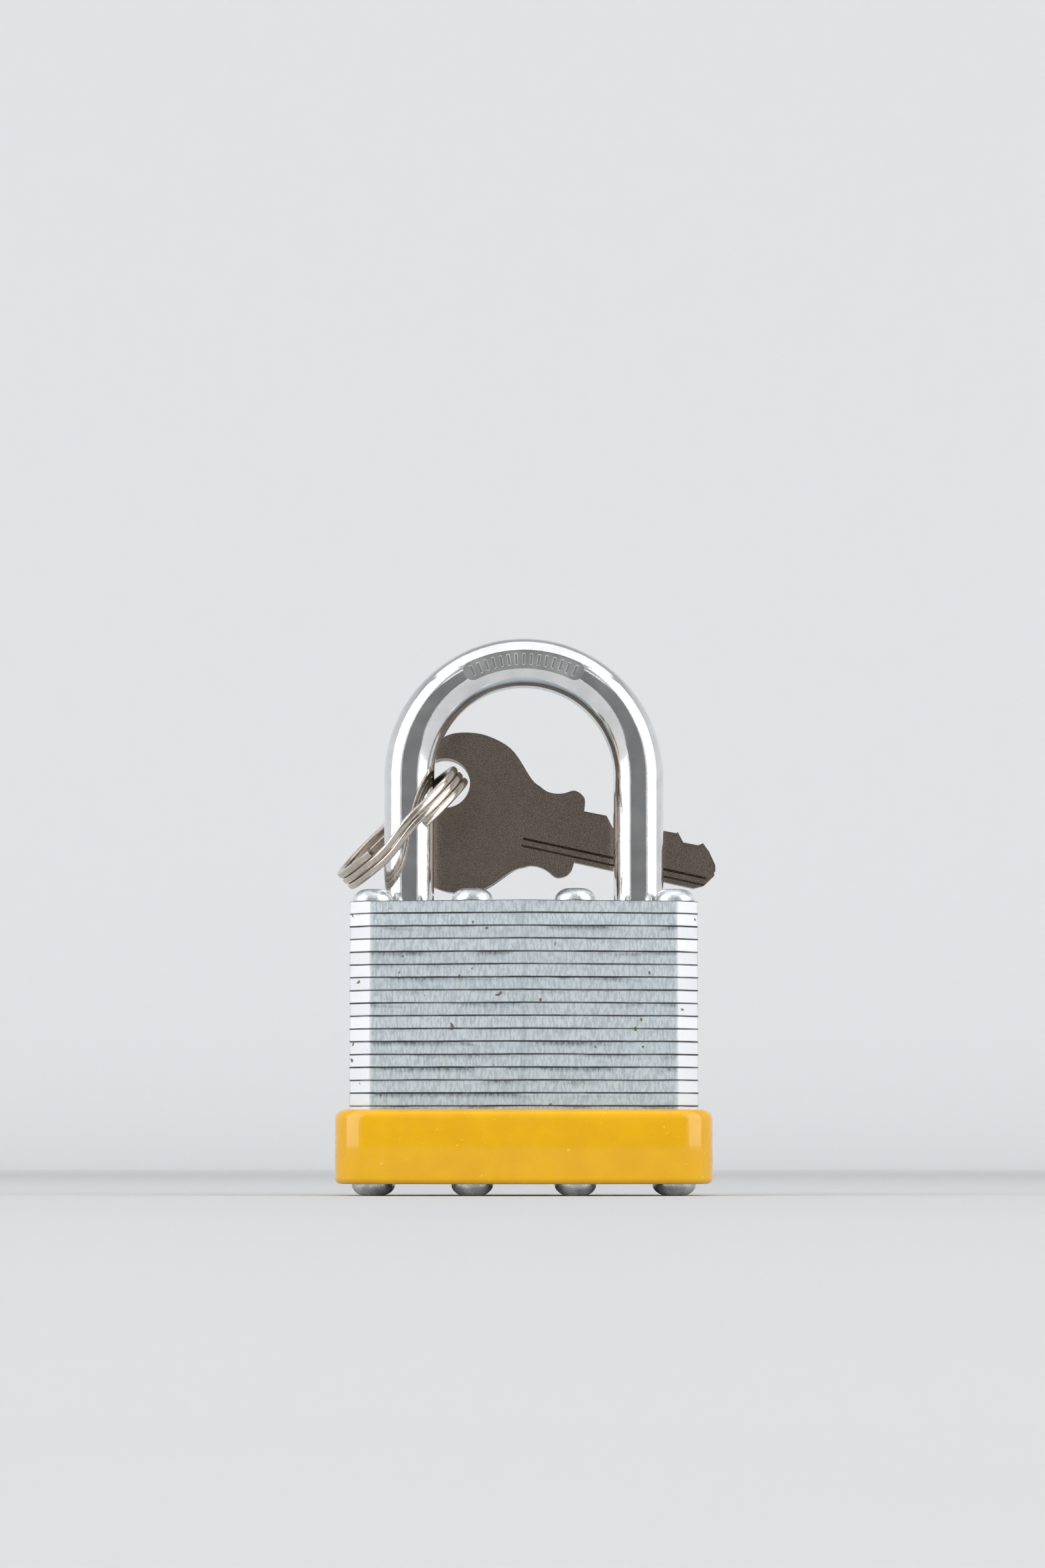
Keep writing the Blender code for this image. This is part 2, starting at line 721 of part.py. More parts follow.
def cut_line():
    """The blade's cut edge: a flat valley for each pin, with a crest between neighbours."""
    valleys = [
        (KEY_CUT_FIRST + PIN_PITCH * i, BLADE_HALF_HEIGHT - depth)
        for i, depth in enumerate(KEY_CUT_DEPTHS)
    ]
    line = [(KEY_CUT_FIRST - KEY_CUT_FLAT - KEY_CUT_DEPTHS[0] / KEY_CUT_SLOPE, BLADE_HALF_HEIGHT)]
    for (middle, bottom), (after, after_bottom) in zip(valleys, valleys[1:]):
        crest_x = (middle + after) / 2 + (after_bottom - bottom) / (2 * KEY_CUT_SLOPE)
        crest = bottom + KEY_CUT_SLOPE * (crest_x - middle - KEY_CUT_FLAT)
        line += [(middle - KEY_CUT_FLAT, bottom), (middle + KEY_CUT_FLAT, bottom)]
        line.append((crest_x, min(crest, BLADE_HALF_HEIGHT)))
    last, bottom = valleys[-1]
    return line + [(last - KEY_CUT_FLAT, bottom), (last + KEY_CUT_FLAT, bottom)]


def key_outline():
    """The key's outline along its axis: bow, shoulders, cut blade and tip."""
    lower_bow = [(x, -y) for x, y in BOW_HALF]
    upper_bow = list(reversed(BOW_HALF))
    return upper_bow + [(6.6, BLADE_HALF_HEIGHT)] + cut_line() + list(KEY_TIP) + lower_bow


def make_keys(parents):
    """Two equal keys, one behind the other, on the ring behind the shackle."""
    centre = key_hole_centre()
    axis_x, axis_z = KEY_AXIS_POINT
    lean = Matrix.Rotation(KEY_SLOPE, 4, "Y")
    origin = Vector((axis_x, 0, axis_z))
    local = lean.inverted() @ (Vector((centre.x, 0, centre.z)) - origin)
    ring_hole = hole((local.x, local.z), KEY_HOLE_RADIUS, 14)
    stand_up = Matrix.Rotation(math.radians(90), 4, "X")
    for i, parent in enumerate(parents):
        shape = prism([key_outline(), ring_hole], 0, KEY_THICKNESS)
        pivot = Matrix.Translation(centre)
        spread = pivot @ Matrix.Rotation(KEY_SPREAD[i], 4, "Y") @ pivot.inverted()
        back = Vector((0, KEY_FRONTS[i] + KEY_THICKNESS, 0))
        placed(shape, spread @ Matrix.Translation(origin + back) @ lean @ stand_up)
        finish_object(f"key_{i + 1}", shape, "nickel", parent)


def main():
    clear_scene()
    plug_axis = axis_empty("plug_axis", (0, 0, 0))
    right_axis = axis_empty("bolt_right_axis", (BOLT_NOSE_X, 0, sum(BOLT_Z) / 2))
    left_axis = axis_empty("bolt_left_axis", (-BOLT_NOSE_X, 0, sum(BOLT_Z) / 2))
    heel_axis = axis_empty("heel_axis", (-LEG_X, 0, 0))
    ring_axis = axis_empty("ring_axis", (-LEG_X, 0, RING_CENTRE.z))
    key_axes = [axis_empty(f"key_{i}_axis", key_hole_centre()) for i in (1, 2)]
    make_plates()
    make_rivets()
    make_bumper()
    make_shackle(heel_axis)
    make_retaining_pin()
    make_shackle_spring()
    make_housing()
    make_plug(plug_axis)
    make_pins(plug_axis)
    make_clip(plug_axis)
    make_cam(plug_axis)
    make_bolts(right_axis, left_axis)
    make_bolt_springs()
    make_key_ring(ring_axis)
    make_keys(key_axes)


main()
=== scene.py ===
"""Looks of the laminated padlock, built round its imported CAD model.

Shapes are worked out in millimetres, and MM turns them into the frame's metres.
+X points to the toe leg of the shackle, -Y is the front, +Z is up.
"""

import json
import math

import bmesh
import bpy
from mathutils import Matrix, Vector


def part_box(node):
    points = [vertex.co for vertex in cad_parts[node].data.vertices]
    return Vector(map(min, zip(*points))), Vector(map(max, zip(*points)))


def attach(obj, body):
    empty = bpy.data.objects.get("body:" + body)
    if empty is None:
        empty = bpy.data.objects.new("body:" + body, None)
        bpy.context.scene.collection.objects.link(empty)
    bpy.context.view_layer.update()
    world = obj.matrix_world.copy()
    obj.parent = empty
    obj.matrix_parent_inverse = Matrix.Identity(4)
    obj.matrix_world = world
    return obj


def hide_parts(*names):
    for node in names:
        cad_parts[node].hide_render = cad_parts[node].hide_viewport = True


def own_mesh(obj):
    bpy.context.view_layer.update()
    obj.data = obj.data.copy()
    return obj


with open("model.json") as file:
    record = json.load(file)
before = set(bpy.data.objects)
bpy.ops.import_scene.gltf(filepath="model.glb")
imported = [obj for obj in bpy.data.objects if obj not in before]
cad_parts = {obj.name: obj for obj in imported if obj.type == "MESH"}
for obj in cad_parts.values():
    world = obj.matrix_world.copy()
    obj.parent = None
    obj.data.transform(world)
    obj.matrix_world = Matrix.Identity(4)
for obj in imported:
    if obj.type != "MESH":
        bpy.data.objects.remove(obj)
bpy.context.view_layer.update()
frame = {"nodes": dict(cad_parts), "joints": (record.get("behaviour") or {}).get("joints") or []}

MM = 0.001

# Body
PLATE_COUNT = 22
RIDGE_RISE = 2.4
CORNER_CHAMFER = (2.35, 2.0)
CHAMFER_ROUNDING = 0.55
RIDGE_ROUNDING = 1.8
PLATE_EDGE = 0.1
PLATE_WANDER = 0.035
SHARP_ANGLE = math.radians(35)
RIVET_COUNT = 8
RIVET_HOLE = 1.5
SHAFT_RADIUS = 1.45
FIT = 0.15
THIN_FIT = 0.05

# Layers of the stack, counted from the bottom
HOUSING_LAYER = 2
CLIP_LAYER = 13
CAM_LAYER = 14
BOLT_LAYER = 17
RETAINER_LAYER = 19

# Cavities in the stack
FACE_HOLE = 4.5
HOUSING_ROOM = 6.75
BAY_HALF = 2.7
BAY_END = 12.3
CLIP_ROOM = 5.9
CAM_ROOM = 4.8
BOLT_ROOM = (9.3, 4.85)
BOLT_CHANNEL = 2.05
POCKET_HALF = 2.8
POCKET_START = 1.6

# Bumper
BUMPER_CORNER = 4.5
BUMPER_RIDGE = 3.0
BUMPER_WALL = 1.6
BUMPER_TOP_ROUND = 1.15
BUMPER_FOOT_ROUND = 0.7

# Shackle
TOE_END = 22.1
NOTCH_FACE = 11.7
NOTCH_Z = (23.54, 29.25)
LIFT_FLAT = 15.05
FLAT_Z = (17.21, 30.81)
GROOVE_TOP = 18.71
GROOVE_CORE = 1.75
STAMP_RADIUS = 13.5
STAMP_HALF_WIDTH = 1.1
STAMP_HALF_ANGLE = math.radians(26)
STAMP_FLOOR = 2.42
STAMP_RIBS = 15
RIB_HALF = 0.17
RIB_REACH = 0.7
ARCH_STEPS = 96
END_CHAMFER = 0.55

# Cylinder
PLUG_FACE = 4.35
PLUG_SHOULDER = 4.5
PLUG_RADIUS = 5.0
PLUG_TOP = 20.2
TAIL_RADIUS = 2.6
TAIL_TOP = 21.5
BLADE = (2.2, 0.9)
KEYWAY_HALF = (3.1, 1.0)
KEYWAY_TOP = 18.8
WARDS = ((-2.35, -1.5, -1), (-0.05, 0.75, 1))
WARD_DEPTH = 0.42
PIN_HOLE = 1.25

# Springs: coil radius and wire radius
PIN_COIL = (0.8, 0.14)
BOLT_COIL = (0.8, 0.16)
LIFT_COIL = (2.05, 0.3)

# Split ring
RING_RADIUS = 9.3
RING_WIRE = (0.95, 0.84)
RING_WIRE_ROUNDING = 0.3
RING_PITCH = 0.875
RING_TURNS = 3
RING_STEP = math.radians(42)
RING_SLOPE = math.radians(43)
RING_TILT = math.radians(8)
RING_CUT = math.radians(-78)

# Keys
KEY_SLOPE = math.radians(12.3)
KEY_AXIS_POINT = (0.25, 43.0)
KEY_THICKNESS = 1.8
KEY_FRONTS = (3.9, 5.9)
KEY_SPREAD = (0.0, math.radians(-1.2))
KEY_HOLE = 2.9
KEY_EDGE = 0.2
BLADE_HALF = 2.95
CUT_FIRST = 10.9
CUT_PITCH = 2.8
CUT_DEPTHS = (1.3, 0.6, 0.45, 1.35)
CUT_FLAT = 0.9
CUT_SLOPE = 1.25
GROOVE_DEPTH = 0.35
GROOVE_SLANT = 0.8
FRONT_GROOVE = (0.0, -2.2, -1.63)
BACK_GROOVE = (3.4, 0.08, 0.62)
BOW_HALF = (
    (6.3, 2.95),
    (6.1, 4.35),
    (5.4, 4.95),
    (4.6, 5.1),
    (3.6, 4.6),
    (2.6, 4.35),
    (1.6, 4.4),
    (0.7, 4.8),
    (-0.5, 5.5),
    (-3.2, 8.2),
    (-5.6, 9.2),
    (-8.2, 9.4),
    (-11.2, 8.5),
    (-13.2, 6.0),
    (-14.2, 2.4),
)
KEY_TIP = ((20.7, 1.95), (21.6, 1.1), (22.6, -0.3), (22.75, -1.0), (21.8, -2.4), (20.7, -2.95))

# Camera and studio, in metres
CAMERA_DISTANCE = 0.52
CAMERA_HEIGHT = 0.004
AIM = Vector((-0.00015, 0.0, 0.0476))
VIEW_HEIGHT = 0.1815
SENSOR_MM = 36
FLOOR_FLAT = 1.7
FLOOR_CURVE = 1.0
WALL_HEIGHT = 2.2
FLOOR_SIDES = 64
CARD_HALF_WIDTH = 0.32
CARD_DISTANCE = 0.45
CARD_HEIGHT = 0.36
SOFTBOX_AIM = Vector((0, 0, 0.03))
SIDE_BOX_SIZE = (1.2, 1.5)
SIDE_BOX_POWER = 14
SIDE_BOX_TURN = math.radians(66)
SIDE_BOX_DISTANCE = 1.3
SIDE_BOX_HEIGHT = 0.62

# Grained metals: name, dark and light tones, grains per metre, roughness range, bump in millimetres
METALS = (
    ("spring_wire", (0.42, 0.43, 0.45), (0.68, 0.69, 0.71), 3000, (0.22, 0.36), 0.006),
    ("hardened_steel", (0.30, 0.31, 0.33), (0.55, 0.56, 0.58), 2200, (0.30, 0.48), 0.015),
    ("die_cast_zinc", (0.36, 0.37, 0.38), (0.60, 0.60, 0.61), 1400, (0.45, 0.62), 0.04),
    # The keys' nickel is painted far darker than the ring's: painted shade standing in for the dark
    # surroundings the keys reflect
    ("nickel_plate_painted_shade", (0.18, 0.145, 0.12), (0.30, 0.25, 0.21), 8500, (0.24, 0.34), 0.0015),
    ("nickel_wire", (0.52, 0.46, 0.40), (0.66, 0.60, 0.53), 3000, (0.16, 0.24), 0.001),
)


# ---------------------------------------------------------------- outlines and solids


def span(node):
    """A CAD node's lowest and highest corners in millimetres."""
    low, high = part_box(node)
    return low / MM, high / MM


def circle(centre, radius, sides):
    return arc(centre, radius, 0, 2 * math.pi, sides)[:-1]


def arc(centre, radius, start, end, steps):
    return [
        (
            centre[0] + radius * math.cos(start + (end - start) * i / steps),
            centre[1] + radius * math.sin(start + (end - start) * i / steps),
        )
        for i in range(steps + 1)
    ]


def half_turn(outline):
    return [(-x, -y) for x, y in outline]


def rounded(corners, radii, inset, steps):
    """An anticlockwise polygon with its corners rounded, drawn a distance inside its edges."""
    outline = []
    for i, place in enumerate(corners):
        corner = Vector(place)
        back = (Vector(corners[i - 1]) - corner).normalized()
        ahead = (Vector(corners[(i + 1) % len(corners)]) - corner).normalized()
        inward = (back + ahead).normalized()
        radius = max(radii[i] - inset, 0.02)
        centre = corner + inward * (inset + radius) / math.sin(back.angle(ahead) / 2)
        start = math.atan2(back.x, -back.y)
        turn = (math.atan2(-ahead.x, ahead.y) - start) % (2 * math.pi)
        outline += arc(centre, radius, start, start + turn, steps)
    return outline


def spline(before, start, end, after, t):
    """A Catmull-Rom curve's value a share t of the way from start to end."""
    linear = (end - before) * t
    square = (2 * before - 5 * start + 4 * end - after) * t**2
    cube = (3 * start - before - 3 * end + after) * t**3
    return 0.5 * (2 * start + linear + square + cube)


def flowing(points, steps):
    """A smooth line through points, left and met at its two ends."""
    padded = [points[0]] + list(points) + [points[-1]]
    line = []
    for a, b, c, d in zip(padded, padded[1:], padded[2:], padded[3:]):
        for i in range(steps):
            line.append(tuple(spline(*values, i / steps) for values in zip(a, b, c, d)))
    return line + [points[-1]]


def prism(outlines, low, high):
    """A flat-ended solid between two heights; outlines after the first are holes."""
    shape = bmesh.new()
    edges = []
    for outline in outlines:
        corners = [shape.verts.new((x, y, low)) for x, y in outline]
        for start, end in zip(corners, corners[1:] + corners[:1]):
            edges.append(shape.edges.new((start, end)))
    filled = bmesh.ops.triangle_fill(shape, use_beauty=True, edges=edges)
    faces = [part for part in filled["geom"] if isinstance(part, bmesh.types.BMFace)]
    raised = bmesh.ops.extrude_face_region(shape, geom=faces)
    top = [part for part in raised["geom"] if isinstance(part, bmesh.types.BMVert)]
    bmesh.ops.translate(shape, verts=top, vec=(0, 0, high - low))
    return shape


def box(low_x, high_x, low_y, high_y, low_z, high_z):
    return prism([[(low_x, low_y), (high_x, low_y), (high_x, high_y), (low_x, high_y)]], low_z, high_z)


def turned(profile, sides):
    """A solid turned about Z from (radius, height) pairs that start and end on the axis."""
    shape = bmesh.new()
    rings = []
    for radius, height in profile:
        if radius == 0:
            rings.append([shape.verts.new((0, 0, height))])
        else:
            rings.append([shape.verts.new((x, y, height)) for x, y in circle((0, 0), radius, sides)])
    for lower, upper in zip(rings, rings[1:]):
        for i in range(sides):
            j = (i + 1) % sides
            if len(lower) == 1:
                shape.faces.new((lower[0], upper[i], upper[j]))
            elif len(upper) == 1:
                shape.faces.new((lower[i], lower[j], upper[0]))
            else:
                shape.faces.new((lower[i], lower[j], upper[j], upper[i]))
    return shape


def loft(rings, joined=False):
    """A skin through rings of points, capped at its ends or joined end to start."""
    shape = bmesh.new()
    made = [[shape.verts.new(point) for point in ring] for ring in rings]
    pairs = list(zip(made, made[1:]))
    if joined:
        pairs.append((made[-1], made[0]))
    for lower, upper in pairs:
        for i in range(len(lower)):
            j = (i + 1) % len(lower)
            shape.faces.new((lower[i], lower[j], upper[j], upper[i]))
    if not joined:
        shape.faces.new(list(reversed(made[0])))
        shape.faces.new(made[-1])
    return shape


def tube(path, section, across, scales=None):
    """A section of (side, lift) points carried along a path, with side square to across."""
    rings = []
    for i, point in enumerate(path):
        forward = (path[min(i + 1, len(path) - 1)] - path[max(i - 1, 0)]).normalized()
        side = forward.cross(across).normalized()
        lift = side.cross(forward)
        scale = scales[i] if scales else 1.0
        rings.append([point + (side * a + lift * b) * scale for a, b in section])
    return loft(rings)


def coil(radius, wire, low, high, turns):
    """A compression spring about Z with a closed turn at each end."""
    per_turn = 20
    steps = turns * per_turn
    free = high - low - 2 * wire
    path = []
    for i in range(steps + 1):
        turn = i / per_turn
        closed = 2 * wire * 1.05
        if turn < 1:
            height = closed * turn
        elif turn > turns - 1:
            height = free - closed * (turns - turn)
        else:
            height = closed + (free - 2 * closed) * (turn - 1) / (turns - 2)
        angle = 2 * math.pi * turn
        path.append(Vector((radius * math.cos(angle), radius * math.sin(angle), low + wire + height)))
    return tube(path, circle((0, 0), wire, 10), Vector((0, 0, 1)))


def placed(shape, matrix):
    bmesh.ops.transform(shape, matrix=matrix, verts=shape.verts)
    return shape


def along_x(place):
    """Lays a shape's Z axis along +X, starting at a place."""
    return Matrix.Translation(place) @ Matrix.Rotation(math.radians(90), 4, "Y")


# ---------------------------------------------------------------- pieces


def raw_object(name, shape):
    bmesh.ops.recalc_face_normals(shape, faces=shape.faces)
    bmesh.ops.scale(shape, vec=(MM, MM, MM), verts=shape.verts)
    mesh = bpy.data.meshes.new(name)
    shape.to_mesh(mesh)
    shape.free()
    made = bpy.data.objects.new(name, mesh)
    bpy.context.scene.collection.objects.link(made)
    return made


def soften(piece, width, segments=2):
    """Rounds a piece's sharp edges."""
    bevel = piece.modifiers.new("edges", "BEVEL")
    bevel.width = width * MM
    bevel.segments = segments
    bevel.limit_method = "ANGLE"
    bevel.angle_limit = math.radians(40)
    bevel.harden_normals = True


def cut(piece, tool, operation="DIFFERENCE"):
    """Cuts a shape out of a piece, or adds it on."""
    other = raw_object("tool", tool)
    change = piece.modifiers.new("cut", "BOOLEAN")
    change.operation = operation
    change.solver = "EXACT"
    change.object = other
    graph = bpy.context.evaluated_depsgraph_get()
    mesh = bpy.data.meshes.new_from_object(piece.evaluated_get(graph))
    piece.modifiers.clear()
    piece.data = mesh
    bpy.data.objects.remove(other, do_unlink=True)


def smooth(piece):
    """Shades a piece smooth, but keeps its corners sharp."""
    piece.data.shade_smooth()
    piece.data.set_sharp_from_angle(angle=SHARP_ANGLE)


def finish_piece(piece, node, body, material, edge):
    """Shades a new piece, rides it on its body, and lets it stand for its CAD node."""
    smooth(piece)
    if edge:
        soften(piece, edge)
    piece.data.materials.clear()
    piece.data.materials.append(material)
    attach(piece, body)
    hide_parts(node)
    return piece


def add_piece(node, shape, body, material, edge=None):
    return finish_piece(raw_object(node + "_look", shape), node, body, material, edge)


# ---------------------------------------------------------------- materials


def new_material(name):
    material = bpy.data.materials.new(name)
    material.use_nodes = True
    return material, material.node_tree, material.node_tree.nodes["Principled BSDF"]


def add_node(tree, kind, inputs, **settings):
    """A node with its settings made and its inputs set to values or linked to sockets."""
    made = tree.nodes.new(kind)
    for name, value in settings.items():
        setattr(made, name, value)
    for socket, value in inputs.items():
        if isinstance(value, bpy.types.NodeSocket):
            tree.links.new(value, made.inputs[socket])
        else:
            made.inputs[socket].default_value = value
    return made


def calculate(tree, operation, first, second=0.0):
    return add_node(tree, "ShaderNodeMath", {0: first, 1: second}, operation=operation).outputs[0]


def stretched(tree, scale):
    """Object coordinates multiplied by cycles per metre along each axis."""
    place = add_node(tree, "ShaderNodeTexCoord", {}).outputs["Object"]
    return add_node(tree, "ShaderNodeMapping", {"Vector": place, "Scale": scale}).outputs[0]


def noise(tree, scale, detail, roughness=0.5):
    vector = stretched(tree, scale)
    inputs = {"Vector": vector, "Scale": 1.0, "Detail": detail, "Roughness": roughness}
    return add_node(tree, "ShaderNodeTexNoise", inputs).outputs[0]


def levels(tree, value, low, high, to_low=0.0, to_high=1.0):
    inputs = {0: value, 1: low, 2: high, 3: to_low, 4: to_high}
    return add_node(tree, "ShaderNodeMapRange", inputs, interpolation_type="SMOOTHSTEP").outputs[0]


def blended(tree, factor, first, second):
    inputs = {0: factor, 6: first, 7: second}
    return add_node(tree, "ShaderNodeMix", inputs, data_type="RGBA").outputs[2]


def add_bump(tree, shader, height, distance, strength):
    inputs = {"Height": height, "Distance": distance * MM, "Strength": strength}
    bump = add_node(tree, "ShaderNodeBump", inputs)
    tree.links.new(bump.outputs[0], shader.inputs["Normal"])


def paint(tree, shader, color, roughness):
    tree.links.new(color, shader.inputs["Base Color"])
    tree.links.new(roughness, shader.inputs["Roughness"])


def place_in_plate(tree):
    """A point's X and Y, how far up its own plate it lies from 0 to 1, and that plate's number."""
    low = span("plate_01")[0].z
    pitch = span("plate_02")[0].z - low
    place = add_node(tree, "ShaderNodeTexCoord", {})
    parts = add_node(tree, "ShaderNodeSeparateXYZ", {"Vector": place.outputs["Object"]}).outputs
    from_low = calculate(tree, "SUBTRACT", parts["Z"], low * MM)
    layers = calculate(tree, "DIVIDE", from_low, pitch * MM)
    return parts["X"], parts["Y"], calculate(tree, "FRACT", layers), calculate(tree, "FLOOR", layers)


def plate_noise(tree, across, along, number_step, detail, roughness):
    """Noise that runs up each plate but starts afresh on the next one."""
    x, y, rise, number = place_in_plate(tree)
    climb = calculate(tree, "MULTIPLY", rise, along)
    jump = calculate(tree, "MULTIPLY", number, number_step)
    height = calculate(tree, "ADD", climb, jump)
    wide = calculate(tree, "MULTIPLY", x, across)
    deep = calculate(tree, "MULTIPLY", y, across)
    parts = {"X": wide, "Y": deep, "Z": height}
    vector = add_node(tree, "ShaderNodeCombineXYZ", parts).outputs[0]
    inputs = {"Vector": vector, "Scale": 1.0, "Detail": detail, "Roughness": roughness}
    return add_node(tree, "ShaderNodeTexNoise", inputs).outputs[0]


def product(tree, *values):
    total = values[0]
    for value in values[1:]:
        total = calculate(tree, "MULTIPLY", total, value)
    return total


def zinc_material():
    """Zinc-plated stamped edges: upright drag lines, smears and dark joints, a painted highlight on the
    chamfers and end faces, and painted shade down the middle ridge, in patches.
    """
    material, tree, shader = new_material("zinc_plated_edges")
    shader.inputs["Metallic"].default_value = 0.35
    x, _, rise, number = place_in_plate(tree)
    aside = calculate(tree, "ABSOLUTE", x)
    place = add_node(tree, "ShaderNodeTexCoord", {})
    facing = add_node(tree, "ShaderNodeSeparateXYZ", {"Vector": place.outputs["Normal"]}).outputs["Z"]
    on_edge = levels(tree, calculate(tree, "ABSOLUTE", facing), 0.75, 0.9, 1.0, 0.0)
    # Painted highlight: the chamfers and end faces get a plain lighter grey, standing in for the side lamps
    # they reflect
    painted_chamfer_highlight = product(tree, levels(tree, aside, 0.0172, 0.0177), on_edge)
    on_face = calculate(tree, "SUBTRACT", 1.0, painted_chamfer_highlight)
    chance = add_node(tree, "ShaderNodeTexWhiteNoise", {"W": number}, noise_dimensions="1D").outputs[0]
    drag = plate_noise(tree, 4200, 1.6, 7.3, 3.0, 0.6)
    grain = noise(tree, (7500, 7500, 7500), 2.0)
    patches = plate_noise(tree, 130, 0.9, 3.1, 4.0, 0.6)
    marks = product(tree, levels(tree, drag, 0.38, 0.60, 1.0, 0.0), on_face)
    tone = blended(tree, marks, (0.52, 0.575, 0.60, 1), (0.37, 0.415, 0.44, 1))
    tone = blended(tree, painted_chamfer_highlight, tone, (0.68, 0.69, 0.71, 1))
    pits = product(tree, levels(tree, grain, 0.56, 0.70, 0.0, 0.5), on_face)
    tone = blended(tree, pits, tone, (0.30, 0.35, 0.37, 1))
    tone = blended(tree, levels(tree, chance, 0, 1, 0.0, 0.2), tone, (0.30, 0.34, 0.36, 1))
    smear = product(
        tree,
        levels(tree, rise, 0.45, 0.97),
        levels(tree, patches, 0.46, 0.60),
        levels(tree, chance, 0.3, 0.7, 0.2, 1.0),
        levels(tree, drag, 0.3, 0.6, 0.95, 0.5),
        on_face,
        on_edge,
    )
    tone = blended(tree, smear, tone, (0.04, 0.045, 0.05, 1))
    # Painted shade: a dark line down the middle ridge, in patches, standing in for the change of light where
    # the two halves of the front meet
    patchiness = levels(tree, patches, 0.3, 0.6, 0.4, 1.0)
    ridge = product(tree, levels(tree, aside, 0.0, 0.0006, 0.35, 0.0), patchiness, on_edge)
    tone = blended(tree, ridge, tone, (0.25, 0.29, 0.31, 1))
    from_middle = calculate(tree, "ABSOLUTE", calculate(tree, "SUBTRACT", rise, 0.48))
    depth = levels(tree, patches, 0.35, 0.6, 0.55, 1.0)
    joint = product(tree, levels(tree, from_middle, 0.40, 0.46), depth, on_edge)
    tone = blended(tree, joint, tone, (0.04, 0.04, 0.04, 1))
    specks = levels(tree, noise(tree, (1300, 1300, 1300), 0.0), 0.83, 0.86)
    tone = blended(tree, specks, tone, (0.16, 0.11, 0.06, 1))
    paint(tree, shader, tone, levels(tree, grain, 0.3, 0.7, 0.38, 0.55))
    height = calculate(tree, "ADD", drag, calculate(tree, "MULTIPLY", grain, 0.5))
    add_bump(tree, shader, height, 0.02, 0.6)
    return material


def rivet_material():
    """Zinc-plated peened steel: bright, with soft dents."""
    material, tree, shader = new_material("zinc_plated_rivets")
    shader.inputs["Metallic"].default_value = 0.9
    dents = noise(tree, (700, 700, 700), 2.0)
    grain = noise(tree, (6000, 6000, 6000), 2.0)
    tone = blended(tree, levels(tree, dents, 0.35, 0.7), (0.48, 0.52, 0.54, 1), (0.80, 0.84, 0.86, 1))
    paint(tree, shader, tone, levels(tree, grain, 0.3, 0.7, 0.22, 0.42))
    height = calculate(tree, "ADD", dents, calculate(tree, "MULTIPLY", grain, 0.12))
    add_bump(tree, shader, height, 0.06, 0.6)
    return material


def chrome_material(name, dark, light, dullness):
    """Polished plating with a faint cloudiness and fine pits, duller where it was stamped."""
    material, tree, shader = new_material(name)
    shader.inputs["Metallic"].default_value = 1.0
    cloud = noise(tree, (350, 350, 350), 3.0)
    pits = noise(tree, (5200, 5200, 5200), 2.0)
    tone = blended(tree, levels(tree, cloud, 0.3, 0.7), (dark, dark, dark, 1), (light, light, light, 1))
    tone = blended(tree, levels(tree, pits, 0.66, 0.74, 0.0, 0.5), tone, (0.4, 0.4, 0.4, 1))
    haze = levels(tree, cloud, 0.3, 0.7, 0.05, 0.1)
    patchiness = levels(tree, pits, 0.5, 0.8, dullness, dullness + 0.08)
    paint(tree, shader, tone, calculate(tree, "ADD", haze, patchiness))
    add_bump(tree, shader, pits, 0.008, 0.35)
    return material


def vinyl_material():
    """Glossy moulded vinyl with a faint orange-peel surface and slight mottling."""
    material, tree, shader = new_material("yellow_vinyl")
    shader.inputs["Specular IOR Level"].default_value = 0.1
    shader.inputs["Coat Weight"].default_value = 0.8
    shader.inputs["Coat Roughness"].default_value = 0.06
    mottle = noise(tree, (260, 260, 260), 3.0)
    peel = noise(tree, (1300, 1300, 1300), 2.0)
    dust = levels(tree, noise(tree, (2600, 2600, 2600), 0.0), 0.82, 0.86, 0.0, 0.5)
    tone = blended(tree, levels(tree, mottle, 0.3, 0.7), (0.65, 0.335, 0.0, 1), (0.69, 0.37, 0.0, 1))
    tone = blended(tree, dust, tone, (0.95, 0.70, 0.20, 1))
    paint(tree, shader, tone, levels(tree, peel, 0.3, 0.7, 0.20, 0.32))
    add_bump(tree, shader, peel, 0.015, 0.35)
    return material


def turned_material(name, dark, light):
    """Machined metal with fine rings round Z and a little tarnish."""
    material, tree, shader = new_material(name)
    shader.inputs["Metallic"].default_value = 1.0
    rings = noise(tree, (300, 300, 9000), 3.0)
    tarnish = noise(tree, (450, 450, 450), 4.0, 0.6)
    tone = blended(tree, levels(tree, tarnish, 0.3, 0.7), (*dark, 1), (*light, 1))
    paint(tree, shader, tone, levels(tree, rings, 0.3, 0.7, 0.24, 0.42))
    add_bump(tree, shader, rings, 0.01, 0.5)
    return material


def grained_material(name, dark, light, grain_scale, roughness, bump):
    """Plain metal with an even grain and slow tone changes."""
    material, tree, shader = new_material(name)
    shader.inputs["Metallic"].default_value = 1.0
    grain = noise(tree, (grain_scale,) * 3, 3.0)
    slow = noise(tree, (220, 220, 220), 2.0)
    factor = product(tree, levels(tree, grain, 0.3, 0.7), levels(tree, slow, 0.2, 0.8, 0.7, 1.0))
    tone = blended(tree, factor, (*dark, 1), (*light, 1))
    paint(tree, shader, tone, levels(tree, grain, 0.3, 0.7, *roughness))
    add_bump(tree, shader, grain, bump, 0.5)
    return material


# ---------------------------------------------------------------- body


